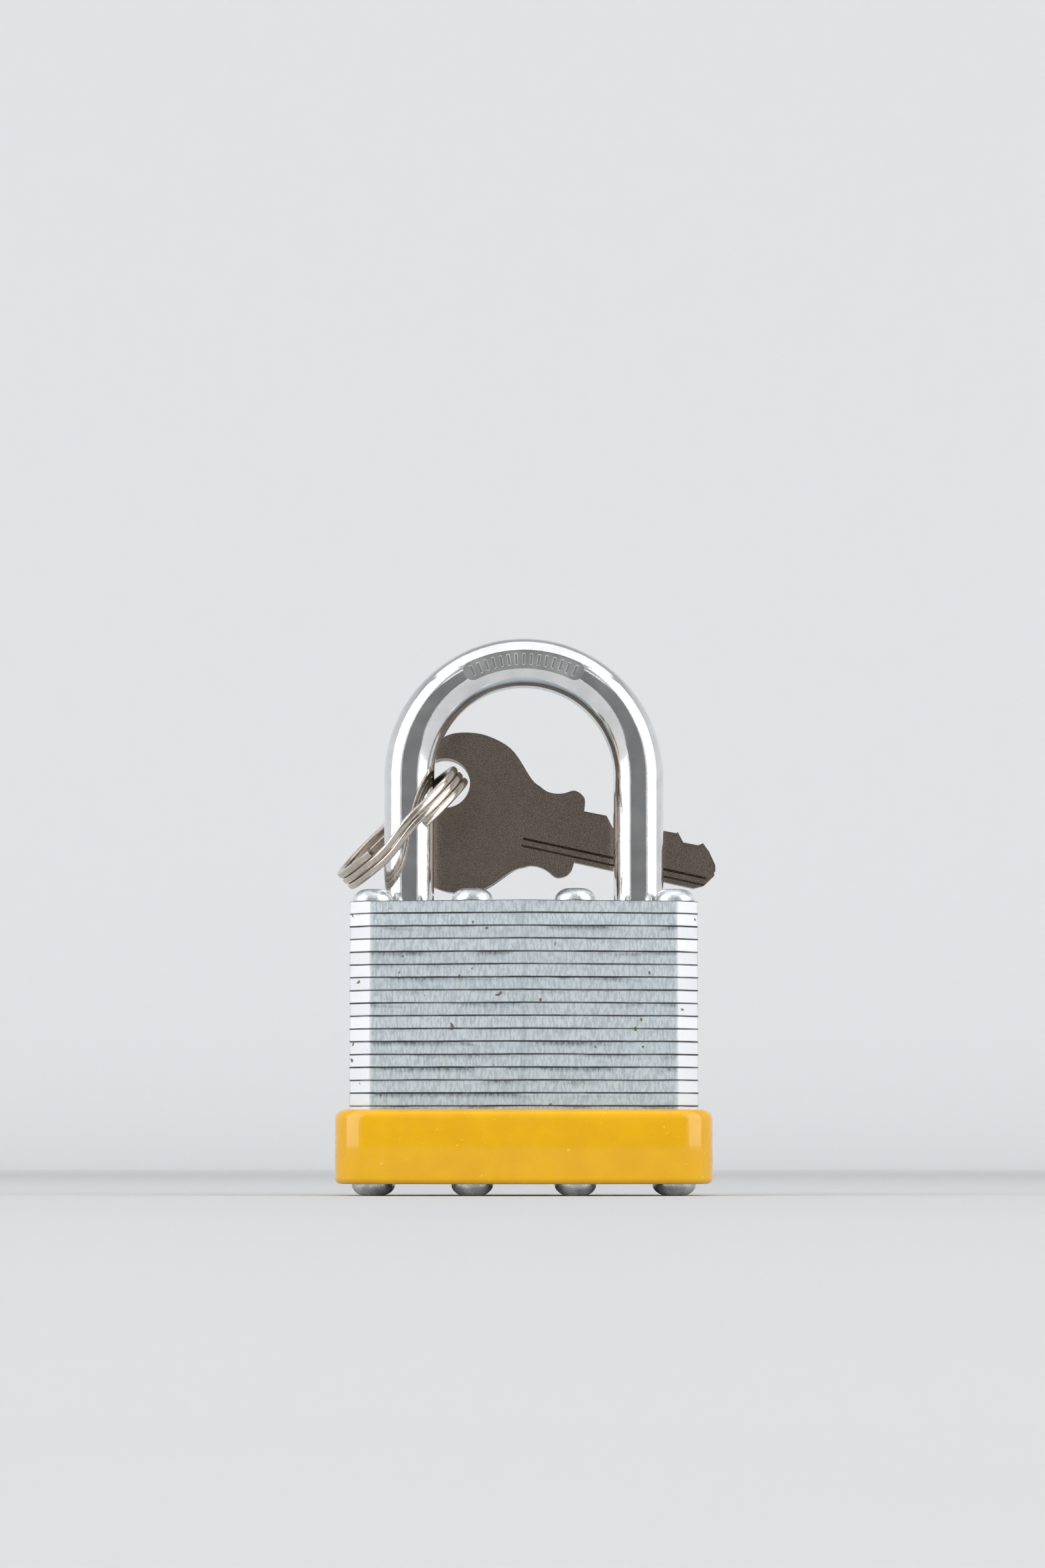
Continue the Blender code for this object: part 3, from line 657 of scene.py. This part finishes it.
def body_corners(margin=0.0):
    half = span("plate_22")[1]
    half_x = half.x + margin
    half_y = half.y + margin
    shoulder = half_y - RIDGE_RISE
    side = [
        (half_x, -shoulder + CORNER_CHAMFER[1]),
        (half_x, shoulder - CORNER_CHAMFER[1]),
        (half_x - CORNER_CHAMFER[0], shoulder),
        (0, half_y),
        (-half_x + CORNER_CHAMFER[0], shoulder),
    ]
    return side + half_turn(side)


def leg_places():
    high = span("shackle")[1]
    return high.y, high.x - high.y


def rivet_places():
    places = []
    for number in range(1, RIVET_COUNT + 1):
        low, high = span(f"rivet_{number}")
        middle = (low + high) / 2
        places.append((middle.x, middle.y))
    return places


def housing_room():
    """A round bore with a straight bay on the toe side for the pin chambers."""
    opening = math.asin(BAY_HALF / HOUSING_ROOM)
    outline = arc((0, 0), HOUSING_ROOM, opening, 2 * math.pi - opening, 40)
    return outline + [(BAY_END, -BAY_HALF), (BAY_END, BAY_HALF)]


def bolt_room():
    """The bolts' room, joined by a channel on each side to the leg holes."""
    rod, leg = leg_places()
    half_x, half_y = BOLT_ROOM
    opening = math.pi - math.asin(BOLT_CHANNEL / (rod + FIT))
    side = [(half_x, -half_y), (half_x, -BOLT_CHANNEL)]
    side += arc((leg, 0), rod + FIT, -opening, opening, 30)
    side += [(half_x, BOLT_CHANNEL), (half_x, half_y)]
    return side + half_turn(side)


def pocketed_heel_hole():
    """The heel hole, widened on its outer side for the cross pin."""
    rod, leg = leg_places()
    near = -leg - POCKET_START
    far = span("retaining_pin")[0].x - FIT
    opening = math.acos((near + leg) / (rod + FIT))
    outline = arc((-leg, 0), rod + FIT, -opening, opening, 30)
    return outline + [(near, POCKET_HALF), (far, POCKET_HALF), (far, -POCKET_HALF), (near, -POCKET_HALF)]


def plate_holes(layer):
    rod, leg = leg_places()
    holes = [circle(place, RIVET_HOLE, 20) for place in rivet_places()]
    if layer < HOUSING_LAYER:
        holes.append(circle((0, 0), FACE_HOLE, 56))
    elif layer < CLIP_LAYER:
        holes.append(housing_room())
    elif layer < CAM_LAYER:
        holes.append(circle((0, 0), CLIP_ROOM, 48))
    elif layer < BOLT_LAYER:
        holes.append(circle((0, 0), CAM_ROOM, 48))
    elif layer < RETAINER_LAYER:
        return holes + [bolt_room()]
    if layer == RETAINER_LAYER:
        holes.append(pocketed_heel_hole())
    elif layer >= HOUSING_LAYER:
        holes.append(circle((-leg, 0), rod + FIT, 40))
    if layer >= CAM_LAYER:
        holes.append(circle((leg, 0), rod + FIT, 40))
    return holes


def make_plates(zinc):
    """Each plate sits a hair off its neighbours, as stamped plates do."""
    radii = [CHAMFER_ROUNDING, CHAMFER_ROUNDING, CHAMFER_ROUNDING, RIDGE_ROUNDING, CHAMFER_ROUNDING] * 2
    for layer in range(PLATE_COUNT):
        node = f"plate_{layer + 1:02d}"
        low, high = span(node)
        aside = PLATE_WANDER * math.sin(2.1 * layer)
        forward = PLATE_WANDER * math.sin(3.7 * layer + 1)
        outline = [(x + aside, y + forward) for x, y in rounded(body_corners(), radii, PLATE_WANDER, 6)]
        shape = prism([outline] + plate_holes(layer), low.z, high.z)
        add_piece(node, shape, "root", zinc, PLATE_EDGE)


def make_rivets(finish):
    """Through rivets whose peened heads are low domes with a shallow dish in the middle."""
    dome = ((1.0, 0.0), (1.0, 0.16), (0.97, 0.36), (0.89, 0.58), (0.76, 0.78), (0.60, 0.93), (0.46, 1.0))
    dish = ((0.34, 0.99), (0.2, 0.93), (0.0, 0.9))
    stack_low = span("plate_01")[0].z - THIN_FIT
    stack_high = span("plate_22")[1].z + THIN_FIT
    for number, place in enumerate(rivet_places(), start=1):
        low, high = span(f"rivet_{number}")
        radius = (high.x - low.x) / 2
        top = [(radius * r, stack_high + (high.z - stack_high) * h) for r, h in dome + dish]
        bottom = [(radius * r, stack_low + (low.z - stack_low) * h) for r, h in reversed(dome + dish)]
        shaft = [(SHAFT_RADIUS, stack_low), (SHAFT_RADIUS, stack_high)]
        shape = turned(bottom + shaft + top, 40)
        placed(shape, Matrix.Translation((*place, 0)))
        add_piece(f"rivet_{number}", shape, "root", finish)


def make_bumper(vinyl):
    """A soft band with full rounded edges, ridged like the body and hugging its chamfers."""
    low, high = span("bumper")
    lean = RIDGE_RISE / (span("plate_22")[1].x - CORNER_CHAMFER[0])
    corner_y = high.y - high.x * lean
    corners = [(high.x, -corner_y), (high.x, corner_y), (0, high.y)]
    corners += half_turn(corners)
    radii = [BUMPER_CORNER, BUMPER_CORNER, BUMPER_RIDGE] * 2
    top = BUMPER_TOP_ROUND
    foot = BUMPER_FOOT_ROUND
    profile = [(foot * (1 - math.sin(a)), low.z + foot * (1 - math.cos(a))) for a in quarter_steps(6)]
    profile += [(top * (1 - math.cos(a)), high.z - top * (1 - math.sin(a))) for a in quarter_steps(8)]
    rings = []
    for inset, height in profile:
        rings.append([(x, y, height) for x, y in rounded(corners, radii, inset, 12)])
    inner = rounded(corners, radii, BUMPER_WALL - 0.1, 12)
    hug = clipped_to_body(inner)
    rings.append([(x, y, high.z - 0.12) for x, y in hug])
    rings.append([(x, y, low.z + 0.1) for x, y in hug])
    add_piece("bumper", loft(rings, joined=True), "root", vinyl)


def quarter_steps(steps):
    return [math.pi / 2 * i / steps for i in range(steps + 1)]


def clipped_to_body(outline):
    """Moves points out to the body's own outline, along the line from the middle."""
    corners = [Vector(corner) for corner in body_corners(THIN_FIT)]
    moved = []
    for x, y in outline:
        point = Vector((x, y))
        reach = 1e9
        for a, b in zip(corners, corners[1:] + corners[:1]):
            normal = Vector((b.y - a.y, a.x - b.x))
            toward = normal.dot(point)
            if toward > 0:
                reach = min(reach, normal.dot(a) / toward)
        moved.append(tuple(point * reach))
    return moved


# ---------------------------------------------------------------- shackle


def stamp_outline():
    """A curved stadium that follows the arch, as (x, z) about the arch's centre."""
    half = STAMP_HALF_WIDTH
    ends = []
    for turn in (math.pi / 2 - STAMP_HALF_ANGLE, math.pi / 2 + STAMP_HALF_ANGLE):
        ends.append((STAMP_RADIUS * math.cos(turn), STAMP_RADIUS * math.sin(turn), turn))
    right, left = ends
    outline = arc(right[:2], half, right[2] - math.pi, right[2], 14)
    outline += arc((0, 0), STAMP_RADIUS + half, right[2], left[2], 36)[1:-1]
    outline += arc(left[:2], half, left[2], left[2] + math.pi, 14)
    outline += arc((0, 0), STAMP_RADIUS - half, left[2], right[2], 36)[1:-1]
    return outline


def facing_front(shape, arch_z):
    """Stands a shape drawn in XY up in XZ, with its heights running to the front."""
    return placed(shape, Matrix.Translation((0, 0, arch_z)) @ Matrix.Rotation(math.radians(90), 4, "X"))


def make_shackle(chrome, stamped):
    """A bent rod with its bolt notches, lift flat, swivel groove and a blank stamped recess."""
    low, high = span("shackle")
    rod, leg = leg_places()
    arch_z = high.z - high.x
    path = [Vector((-leg, 0, low.z + END_CHAMFER * i)) for i in range(3)]
    for i in range(ARCH_STEPS + 1):
        angle = math.pi - math.pi * i / ARCH_STEPS
        path.append(Vector((leg * math.cos(angle), 0, arch_z + leg * math.sin(angle))))
    path += [Vector((leg, 0, TOE_END + END_CHAMFER * i)) for i in reversed(range(3))]
    scales = [1.0] * len(path)
    scales[0] = scales[-1] = 1 - END_CHAMFER / rod
    shackle = raw_object("shackle_look", tube(path, circle((0, 0), rod, 48), Vector((0, 1, 0)), scales))
    reach = rod + 1
    cut(shackle, box(leg - reach, NOTCH_FACE, -reach, reach, *NOTCH_Z))
    cut(shackle, box(-NOTCH_FACE, -leg + reach, -reach, reach, *NOTCH_Z))
    cut(shackle, box(-leg - reach, -LIFT_FLAT, -reach, reach, *FLAT_Z))
    groove = [circle((-leg, 0), reach, 40), circle((-leg, 0), GROOVE_CORE, 40)]
    cut(shackle, prism(groove, FLAT_Z[0], GROOVE_TOP))
    cut(shackle, facing_front(prism([stamp_outline()], STAMP_FLOOR, rod + 1), arch_z))
    finish_piece(shackle, "shackle", "shackle", chrome, 0.1)
    shackle.data.materials.append(stamped)
    for face in shackle.data.polygons:
        if face.normal.y < -0.999 and abs(face.center.y + STAMP_FLOOR * MM) < 0.01 * MM:
            face.material_index = 1


def make_stamp_ribs(plating):
    """Plain radial ribs that fill the recess in place of stamped letters."""
    rod = leg_places()[0]
    arch_z = span("shackle")[1].z - span("shackle")[1].x
    ribs = bmesh.new()
    for i in range(STAMP_RIBS):
        turn = STAMP_HALF_ANGLE * (2 * i / (STAMP_RIBS - 1) - 1)
        length = (STAMP_RADIUS - RIB_REACH, STAMP_RADIUS + RIB_REACH)
        rib = box(-RIB_HALF, RIB_HALF, *length, STAMP_FLOOR - 0.2, rod - 0.2)
        placed(rib, Matrix.Rotation(turn, 4, "Z"))
        facing_front(rib, arch_z)
        mesh = bpy.data.meshes.new("rib")
        rib.to_mesh(mesh)
        rib.free()
        ribs.from_mesh(mesh)
        bpy.data.meshes.remove(mesh)
    piece = raw_object("shackle_stamp_ribs", ribs)
    smooth(piece)
    soften(piece, 0.6 * RIB_HALF, 2)
    piece.data.materials.append(plating)
    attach(piece, "shackle")


# ---------------------------------------------------------------- cylinder


def pin_heights():
    heights = []
    for number in range(1, 5):
        low, high = span(f"key_pin_{number}")
        heights.append((low.z + high.z) / 2)
    return heights


def keyway_outline():
    """A straight slot with one ward on each side."""
    half_x, half_y = KEYWAY_HALF
    outline = [(half_x, -half_y), (half_x, half_y)]
    floor = half_y - WARD_DEPTH
    for low, high, side in reversed(WARDS):
        if side > 0:
            outline += [(high, half_y), (high, floor), (low, floor), (low, half_y)]
    outline += [(-half_x, half_y), (-half_x, -half_y)]
    for low, high, side in WARDS:
        if side < 0:
            outline += [(low, -half_y), (low, -floor), (high, -floor), (high, -half_y)]
    return outline


def make_plug(brass):
    low = span("plug")[0].z
    blade_top = span("plug")[1].z
    chamfer = 0.3
    profile = (
        (0, low),
        (PLUG_FACE - chamfer, low),
        (PLUG_FACE, low + chamfer),
        (PLUG_FACE, PLUG_SHOULDER),
        (PLUG_RADIUS, PLUG_SHOULDER),
        (PLUG_RADIUS, PLUG_TOP),
        (TAIL_RADIUS, PLUG_TOP),
        (TAIL_RADIUS, TAIL_TOP),
        (0, TAIL_TOP),
    )
    plug = raw_object("plug_look", turned(profile, 64))
    cut(plug, prism([keyway_outline()], low - 1, KEYWAY_TOP))
    for height in pin_heights():
        drill = turned(((0, 0), (PIN_HOLE, 0), (PIN_HOLE, PLUG_RADIUS), (0, PLUG_RADIUS)), 28)
        cut(plug, placed(drill, along_x((0.8, 0, height))))
    cut(plug, box(-BLADE[0], BLADE[0], -BLADE[1], BLADE[1], TAIL_TOP - 0.5, blade_top), "UNION")
    finish_piece(plug, "plug", "plug", brass, 0.08)


def make_pins(brass):
    """Key pins with rounded tips and spooled driver pins."""
    for number, height in enumerate(pin_heights(), start=1):
        low, high = span(f"key_pin_{number}")
        radius = (high.z - low.z) / 2
        tip = ((0, low.x), (0.35, low.x + 0.03), (0.55, low.x + 0.12), (radius, low.x + 0.75))
        end = ((radius, high.x - 0.12), (radius - 0.12, high.x), (0, high.x))
        shape = placed(turned(tip + end, 28), along_x((0, 0, height)))
        add_piece(f"key_pin_{number}", shape, "plug", brass)
        low, high = span(f"driver_pin_{number}")
        waist = radius - 0.25
        profile = (
            (0, low.x),
            (radius - 0.1, low.x),
            (radius, low.x + 0.1),
            (radius, low.x + 0.55),
            (waist, low.x + 0.75),
            (waist, high.x - 0.75),
            (radius, high.x - 0.55),
            (radius, high.x - 0.1),
            (radius - 0.1, high.x),
            (0, high.x),
        )
        shape = placed(turned(profile, 28), along_x((0, 0, height)))
        add_piece(f"driver_pin_{number}", shape, "root", brass)


def make_springs(steel):
    """Round-wire springs in the places of the CAD model's square ones."""
    for number, height in enumerate(pin_heights(), start=1):
        low, high = span(f"pin_spring_{number}")
        shape = placed(coil(*PIN_COIL, 0, high.x - low.x, 8), along_x((low.x, 0, height)))
        add_piece(f"pin_spring_{number}", shape, "root", steel)
    for side, fixed_end in (("right", 0), ("left", 1)):
        name = f"bolt_spring_{side}"
        ends = span(name)
        low, high = ends
        length = high.x - low.x
        middle = (low + high) / 2
        shape = placed(coil(*BOLT_COIL, 0, length, 13), along_x((low.x, middle.y, middle.z)))
        spring = add_piece(name, shape, "root", steel)
        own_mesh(spring)
    low, high = span("shackle_spring")
    middle = (low + high) / 2
    shape = placed(coil(*LIFT_COIL, low.z, high.z, 9), Matrix.Translation((middle.x, middle.y, 0)))
    add_piece("shackle_spring", shape, "root", steel)


def keep_cad(names, material, edge):
    """CAD nodes whose shape already stands get their material and softened edges."""
    for name in names:
        node = frame["nodes"][name]
        node.data.materials.clear()
        node.data.materials.append(material)
        soften(node, edge)


# ---------------------------------------------------------------- split ring and keys


def ring_axes():
    """The split ring's plane: up its slope, towards the back, and square to both."""
    slope = Vector((math.cos(RING_SLOPE), 0, math.sin(RING_SLOPE)))
    normal = Vector((math.sin(RING_SLOPE), 0, -math.cos(RING_SLOPE)))
    back = Vector((0, 1, 0)) * math.cos(RING_TILT) - normal * math.sin(RING_TILT)
    return slope, back, slope.cross(back)


def make_key_ring(nickel):
    """A flat-wire split ring: level turns joined by a step where the wire crosses over."""
    low, high = span("key_ring")
    centre = (low + high) / 2
    slope, back, normal = ring_axes()
    middle = RING_RADIUS - RING_WIRE[0] / 2
    per_turn = 72
    path = []
    for i in range(RING_TURNS * per_turn + 1):
        turn = i / per_turn
        gap = RING_STEP / (2 * math.pi)
        if turn > RING_TURNS - gap:
            break
        whole = math.floor(turn)
        t = max(0.0, (turn - whole - 1 + gap) / gap)
        layer = whole + t * t * (3 - 2 * t) - (RING_TURNS - 1) / 2
        angle = RING_CUT + 2 * math.pi * turn
        outward = slope * math.cos(angle) + back * math.sin(angle)
        path.append((centre + outward * middle + normal * layer * RING_PITCH, outward))
    half_wall, half_width = RING_WIRE[0] / 2, RING_WIRE[1] / 2
    corners = [(half_wall, -half_width), (half_wall, half_width)]
    corners += half_turn(corners)
    section = rounded(corners, [RING_WIRE_ROUNDING] * 4, 0, 4)
    rings = [[point + outward * a + normal * b for a, b in section] for point, outward in path]
    add_piece("key_ring", loft(rings), "key_ring", nickel)


def cut_line():
    """The blade's cut edge: a flat valley for each pin, with a crest between neighbours."""
    valleys = [(CUT_FIRST + CUT_PITCH * i, BLADE_HALF - depth) for i, depth in enumerate(CUT_DEPTHS)]
    line = [(CUT_FIRST - CUT_FLAT - CUT_DEPTHS[0] / CUT_SLOPE, BLADE_HALF)]
    for (middle, bottom), (after, after_bottom) in zip(valleys, valleys[1:]):
        crest_x = (middle + after) / 2 + (after_bottom - bottom) / (2 * CUT_SLOPE)
        crest = bottom + CUT_SLOPE * (crest_x - middle - CUT_FLAT)
        line += [(middle - CUT_FLAT, bottom), (middle + CUT_FLAT, bottom)]
        line.append((crest_x, min(crest, BLADE_HALF)))
    last, bottom = valleys[-1]
    return line + [(last - CUT_FLAT, bottom), (last + CUT_FLAT, bottom)]


def key_outline():
    """Bow, shoulders, cut blade and tip."""
    lower_bow = flowing([(x, -y) for x, y in BOW_HALF], 4)
    upper_bow = flowing(list(reversed(BOW_HALF)), 4)
    return upper_bow + cut_line() + list(KEY_TIP) + lower_bow


def groove_cutter(start, end, low, high, floor, face):
    """A long bar with slanted sides, from the groove's floor out past the key's face."""
    spread = abs(face - floor) * GROOVE_SLANT
    out = face + (face - floor)
    profile = [(low, floor), (low - 2 * spread, out), (high + 2 * spread, out), (high, floor)]
    shape = prism([profile], start, end)
    turn = Matrix(((0, 0, 1, 0), (1, 0, 0, 0), (0, 1, 0, 0), (0, 0, 0, 1)))
    return placed(shape, turn)


def make_keys(nickel):
    """Two equal keys with bevelled edges and a milled groove on each side."""
    hole_place = Vector(next(j["pos_m"] for j in frame["joints"] if j["name"] == "key_1_swing")) / MM
    axis_x, axis_z = KEY_AXIS_POINT
    origin = Vector((axis_x, 0, axis_z))
    lean = Matrix.Rotation(KEY_SLOPE, 4, "Y")
    local = lean.inverted() @ (Vector((hole_place.x, 0, hole_place.z)) - origin)
    ring_hole = circle((local.x, local.z), KEY_HOLE, 48)
    stand_up = Matrix.Rotation(math.radians(90), 4, "X")
    end = KEY_TIP[3][0] + 1
    for i, front in enumerate(KEY_FRONTS):
        node = f"key_{i + 1}"
        key = raw_object(node + "_look", prism([key_outline(), ring_hole], 0, KEY_THICKNESS))
        start, low, high = FRONT_GROOVE
        cut(key, groove_cutter(start, end, low, high, KEY_THICKNESS - GROOVE_DEPTH, KEY_THICKNESS))
        start, low, high = BACK_GROOVE
        cut(key, groove_cutter(start, end, low, high, GROOVE_DEPTH, 0))
        pivot = Matrix.Translation(hole_place)
        spread = pivot @ Matrix.Rotation(KEY_SPREAD[i], 4, "Y") @ pivot.inverted()
        stand = spread @ Matrix.Translation(origin + Vector((0, front + KEY_THICKNESS, 0))) @ lean @ stand_up
        stand.translation *= MM
        key.data.transform(stand)
        finish_piece(key, node, node, nickel, KEY_EDGE)


# ---------------------------------------------------------------- studio


def make_floor():
    """A wide pale floor that curves up into an even backdrop all round."""
    profile = [(0.95 * FLOOR_FLAT, 0.0)]
    for a in quarter_steps(32):
        profile.append((FLOOR_FLAT + FLOOR_CURVE * math.sin(a), FLOOR_CURVE * (1 - math.cos(a))))
    profile.append((FLOOR_FLAT + FLOOR_CURVE, WALL_HEIGHT))
    shape = bmesh.new()
    rings = []
    for radius, height in profile:
        outline = circle((0, 0), radius, FLOOR_SIDES)
        rings.append([shape.verts.new((x, y, height)) for x, y in outline])
    middle = shape.verts.new((0, 0, 0))
    for i in range(FLOOR_SIDES):
        shape.faces.new((middle, rings[0][i], rings[0][(i + 1) % FLOOR_SIDES]))
    for lower, upper in zip(rings, rings[1:]):
        for i in range(FLOOR_SIDES):
            j = (i + 1) % FLOOR_SIDES
            shape.faces.new((lower[i], lower[j], upper[j], upper[i]))
    bmesh.ops.recalc_face_normals(shape, faces=shape.faces)
    mesh = bpy.data.meshes.new("studio_floor")
    shape.to_mesh(mesh)
    shape.free()
    mesh.shade_smooth()
    floor = bpy.data.objects.new("studio_floor", mesh)
    bpy.context.scene.collection.objects.link(floor)
    material, tree, shader = new_material("pale_floor")
    place = add_node(tree, "ShaderNodeTexCoord", {})
    from_middle = add_node(tree, "ShaderNodeVectorMath", {0: place.outputs["Object"]}, operation="LENGTH")
    tone = blended(
        tree,
        levels(tree, from_middle.outputs["Value"], 0.5, 2.2),
        (0.50, 0.50, 0.50, 1),
        (0.93, 0.93, 0.93, 1),
    )
    paint(tree, shader, tone, levels(tree, noise(tree, (60, 60, 60), 2.0), 0, 1, 0.75, 0.85))
    mesh.materials.append(material)


def make_dark_card():
    """A grey card in front of the lock that only reflections see, as a studio flag for bright metal."""
    x, y = CARD_HALF_WIDTH, -CARD_DISTANCE
    corners = [(-x, y, 0), (x, y, 0), (x, y, CARD_HEIGHT), (-x, y, CARD_HEIGHT)]
    mesh = bpy.data.meshes.new("dark_card")
    mesh.from_pydata(corners, [], [(0, 1, 2, 3)])
    card = bpy.data.objects.new("dark_card", mesh)
    bpy.context.scene.collection.objects.link(card)
    material, tree, shader = new_material("dark_card")
    tone = blended(tree, noise(tree, (20, 20, 20), 1.0), (0.25, 0.25, 0.25, 1), (0.28, 0.28, 0.28, 1))
    paint(tree, shader, tone, levels(tree, noise(tree, (20, 20, 20), 1.0), 0, 1, 0.9, 1.0))
    mesh.materials.append(material)
    card.visible_camera = False
    card.visible_diffuse = False
    card.visible_shadow = False
    card.visible_transmission = False


def add_softbox(name, place, size, power):
    data = bpy.data.lights.new(name, "AREA")
    data.shape = "RECTANGLE"
    data.size, data.size_y = size
    data.energy = power
    light = bpy.data.objects.new(name, data)
    light.location = place
    light.rotation_euler = (SOFTBOX_AIM - Vector(place)).to_track_quat("-Z", "Y").to_euler()
    light.visible_camera = False
    bpy.context.scene.collection.objects.link(light)


def make_studio():
    make_floor()
    make_dark_card()
    aside = SIDE_BOX_DISTANCE * math.sin(SIDE_BOX_TURN)
    forward = -SIDE_BOX_DISTANCE * math.cos(SIDE_BOX_TURN)
    for name, x in (("softbox_right", aside), ("softbox_left", -aside)):
        add_softbox(name, (x, forward, SIDE_BOX_HEIGHT), SIDE_BOX_SIZE, SIDE_BOX_POWER)
    add_softbox("softbox_top", (0, -0.1, 1.8), (2.8, 1.8), 12.5)
    add_softbox("softbox_front", (0, -1.2, 0.5), (1.1, 0.7), 4)
    world = bpy.data.worlds.new("studio_world")
    world.use_nodes = True
    world.node_tree.nodes["Background"].inputs["Color"].default_value = (0.93, 0.96, 1.0, 1)
    world.node_tree.nodes["Background"].inputs["Strength"].default_value = 0.5
    bpy.context.scene.world = world
    bpy.context.scene.view_settings.view_transform = "Standard"


def make_camera():
    data = bpy.data.cameras.new("camera")
    data.sensor_width = SENSOR_MM
    data.lens = SENSOR_MM * CAMERA_DISTANCE / VIEW_HEIGHT
    data.clip_start = 0.001
    camera = bpy.data.objects.new("camera", data)
    camera.location = (0, -CAMERA_DISTANCE, CAMERA_HEIGHT)
    camera.rotation_euler = (AIM - camera.location).to_track_quat("-Z", "Y").to_euler()
    bpy.context.scene.collection.objects.link(camera)
    bpy.context.scene.camera = camera


def make_all():
    zinc = zinc_material()
    chrome = chrome_material("polished_plating", 0.74, 0.86, 0.0)
    stamped = chrome_material("stamped_plating", 0.42, 0.56, 0.26)
    brass = turned_material("brass_turned", (0.60, 0.42, 0.16), (0.80, 0.62, 0.30))
    spring, hardened, cast, nickel, ring_nickel = [grained_material(*metal) for metal in METALS]
    make_plates(zinc)
    make_rivets(rivet_material())
    make_bumper(vinyl_material())
    make_shackle(chrome, stamped)
    make_stamp_ribs(chrome)
    make_plug(brass)
    make_pins(brass)
    make_springs(spring)
    keep_cad(["cylinder_housing", "cam"], cast, 0.12)
    keep_cad(["chamber_cover"], brass, 0.06)
    keep_cad(["bolt_right", "bolt_left", "retaining_pin"], hardened, 0.12)
    keep_cad(["plug_clip"], spring, 0.06)
    make_key_ring(ring_nickel)
    make_keys(nickel)
    make_studio()
    make_camera()


make_all()
bpy.context.view_layer.update()
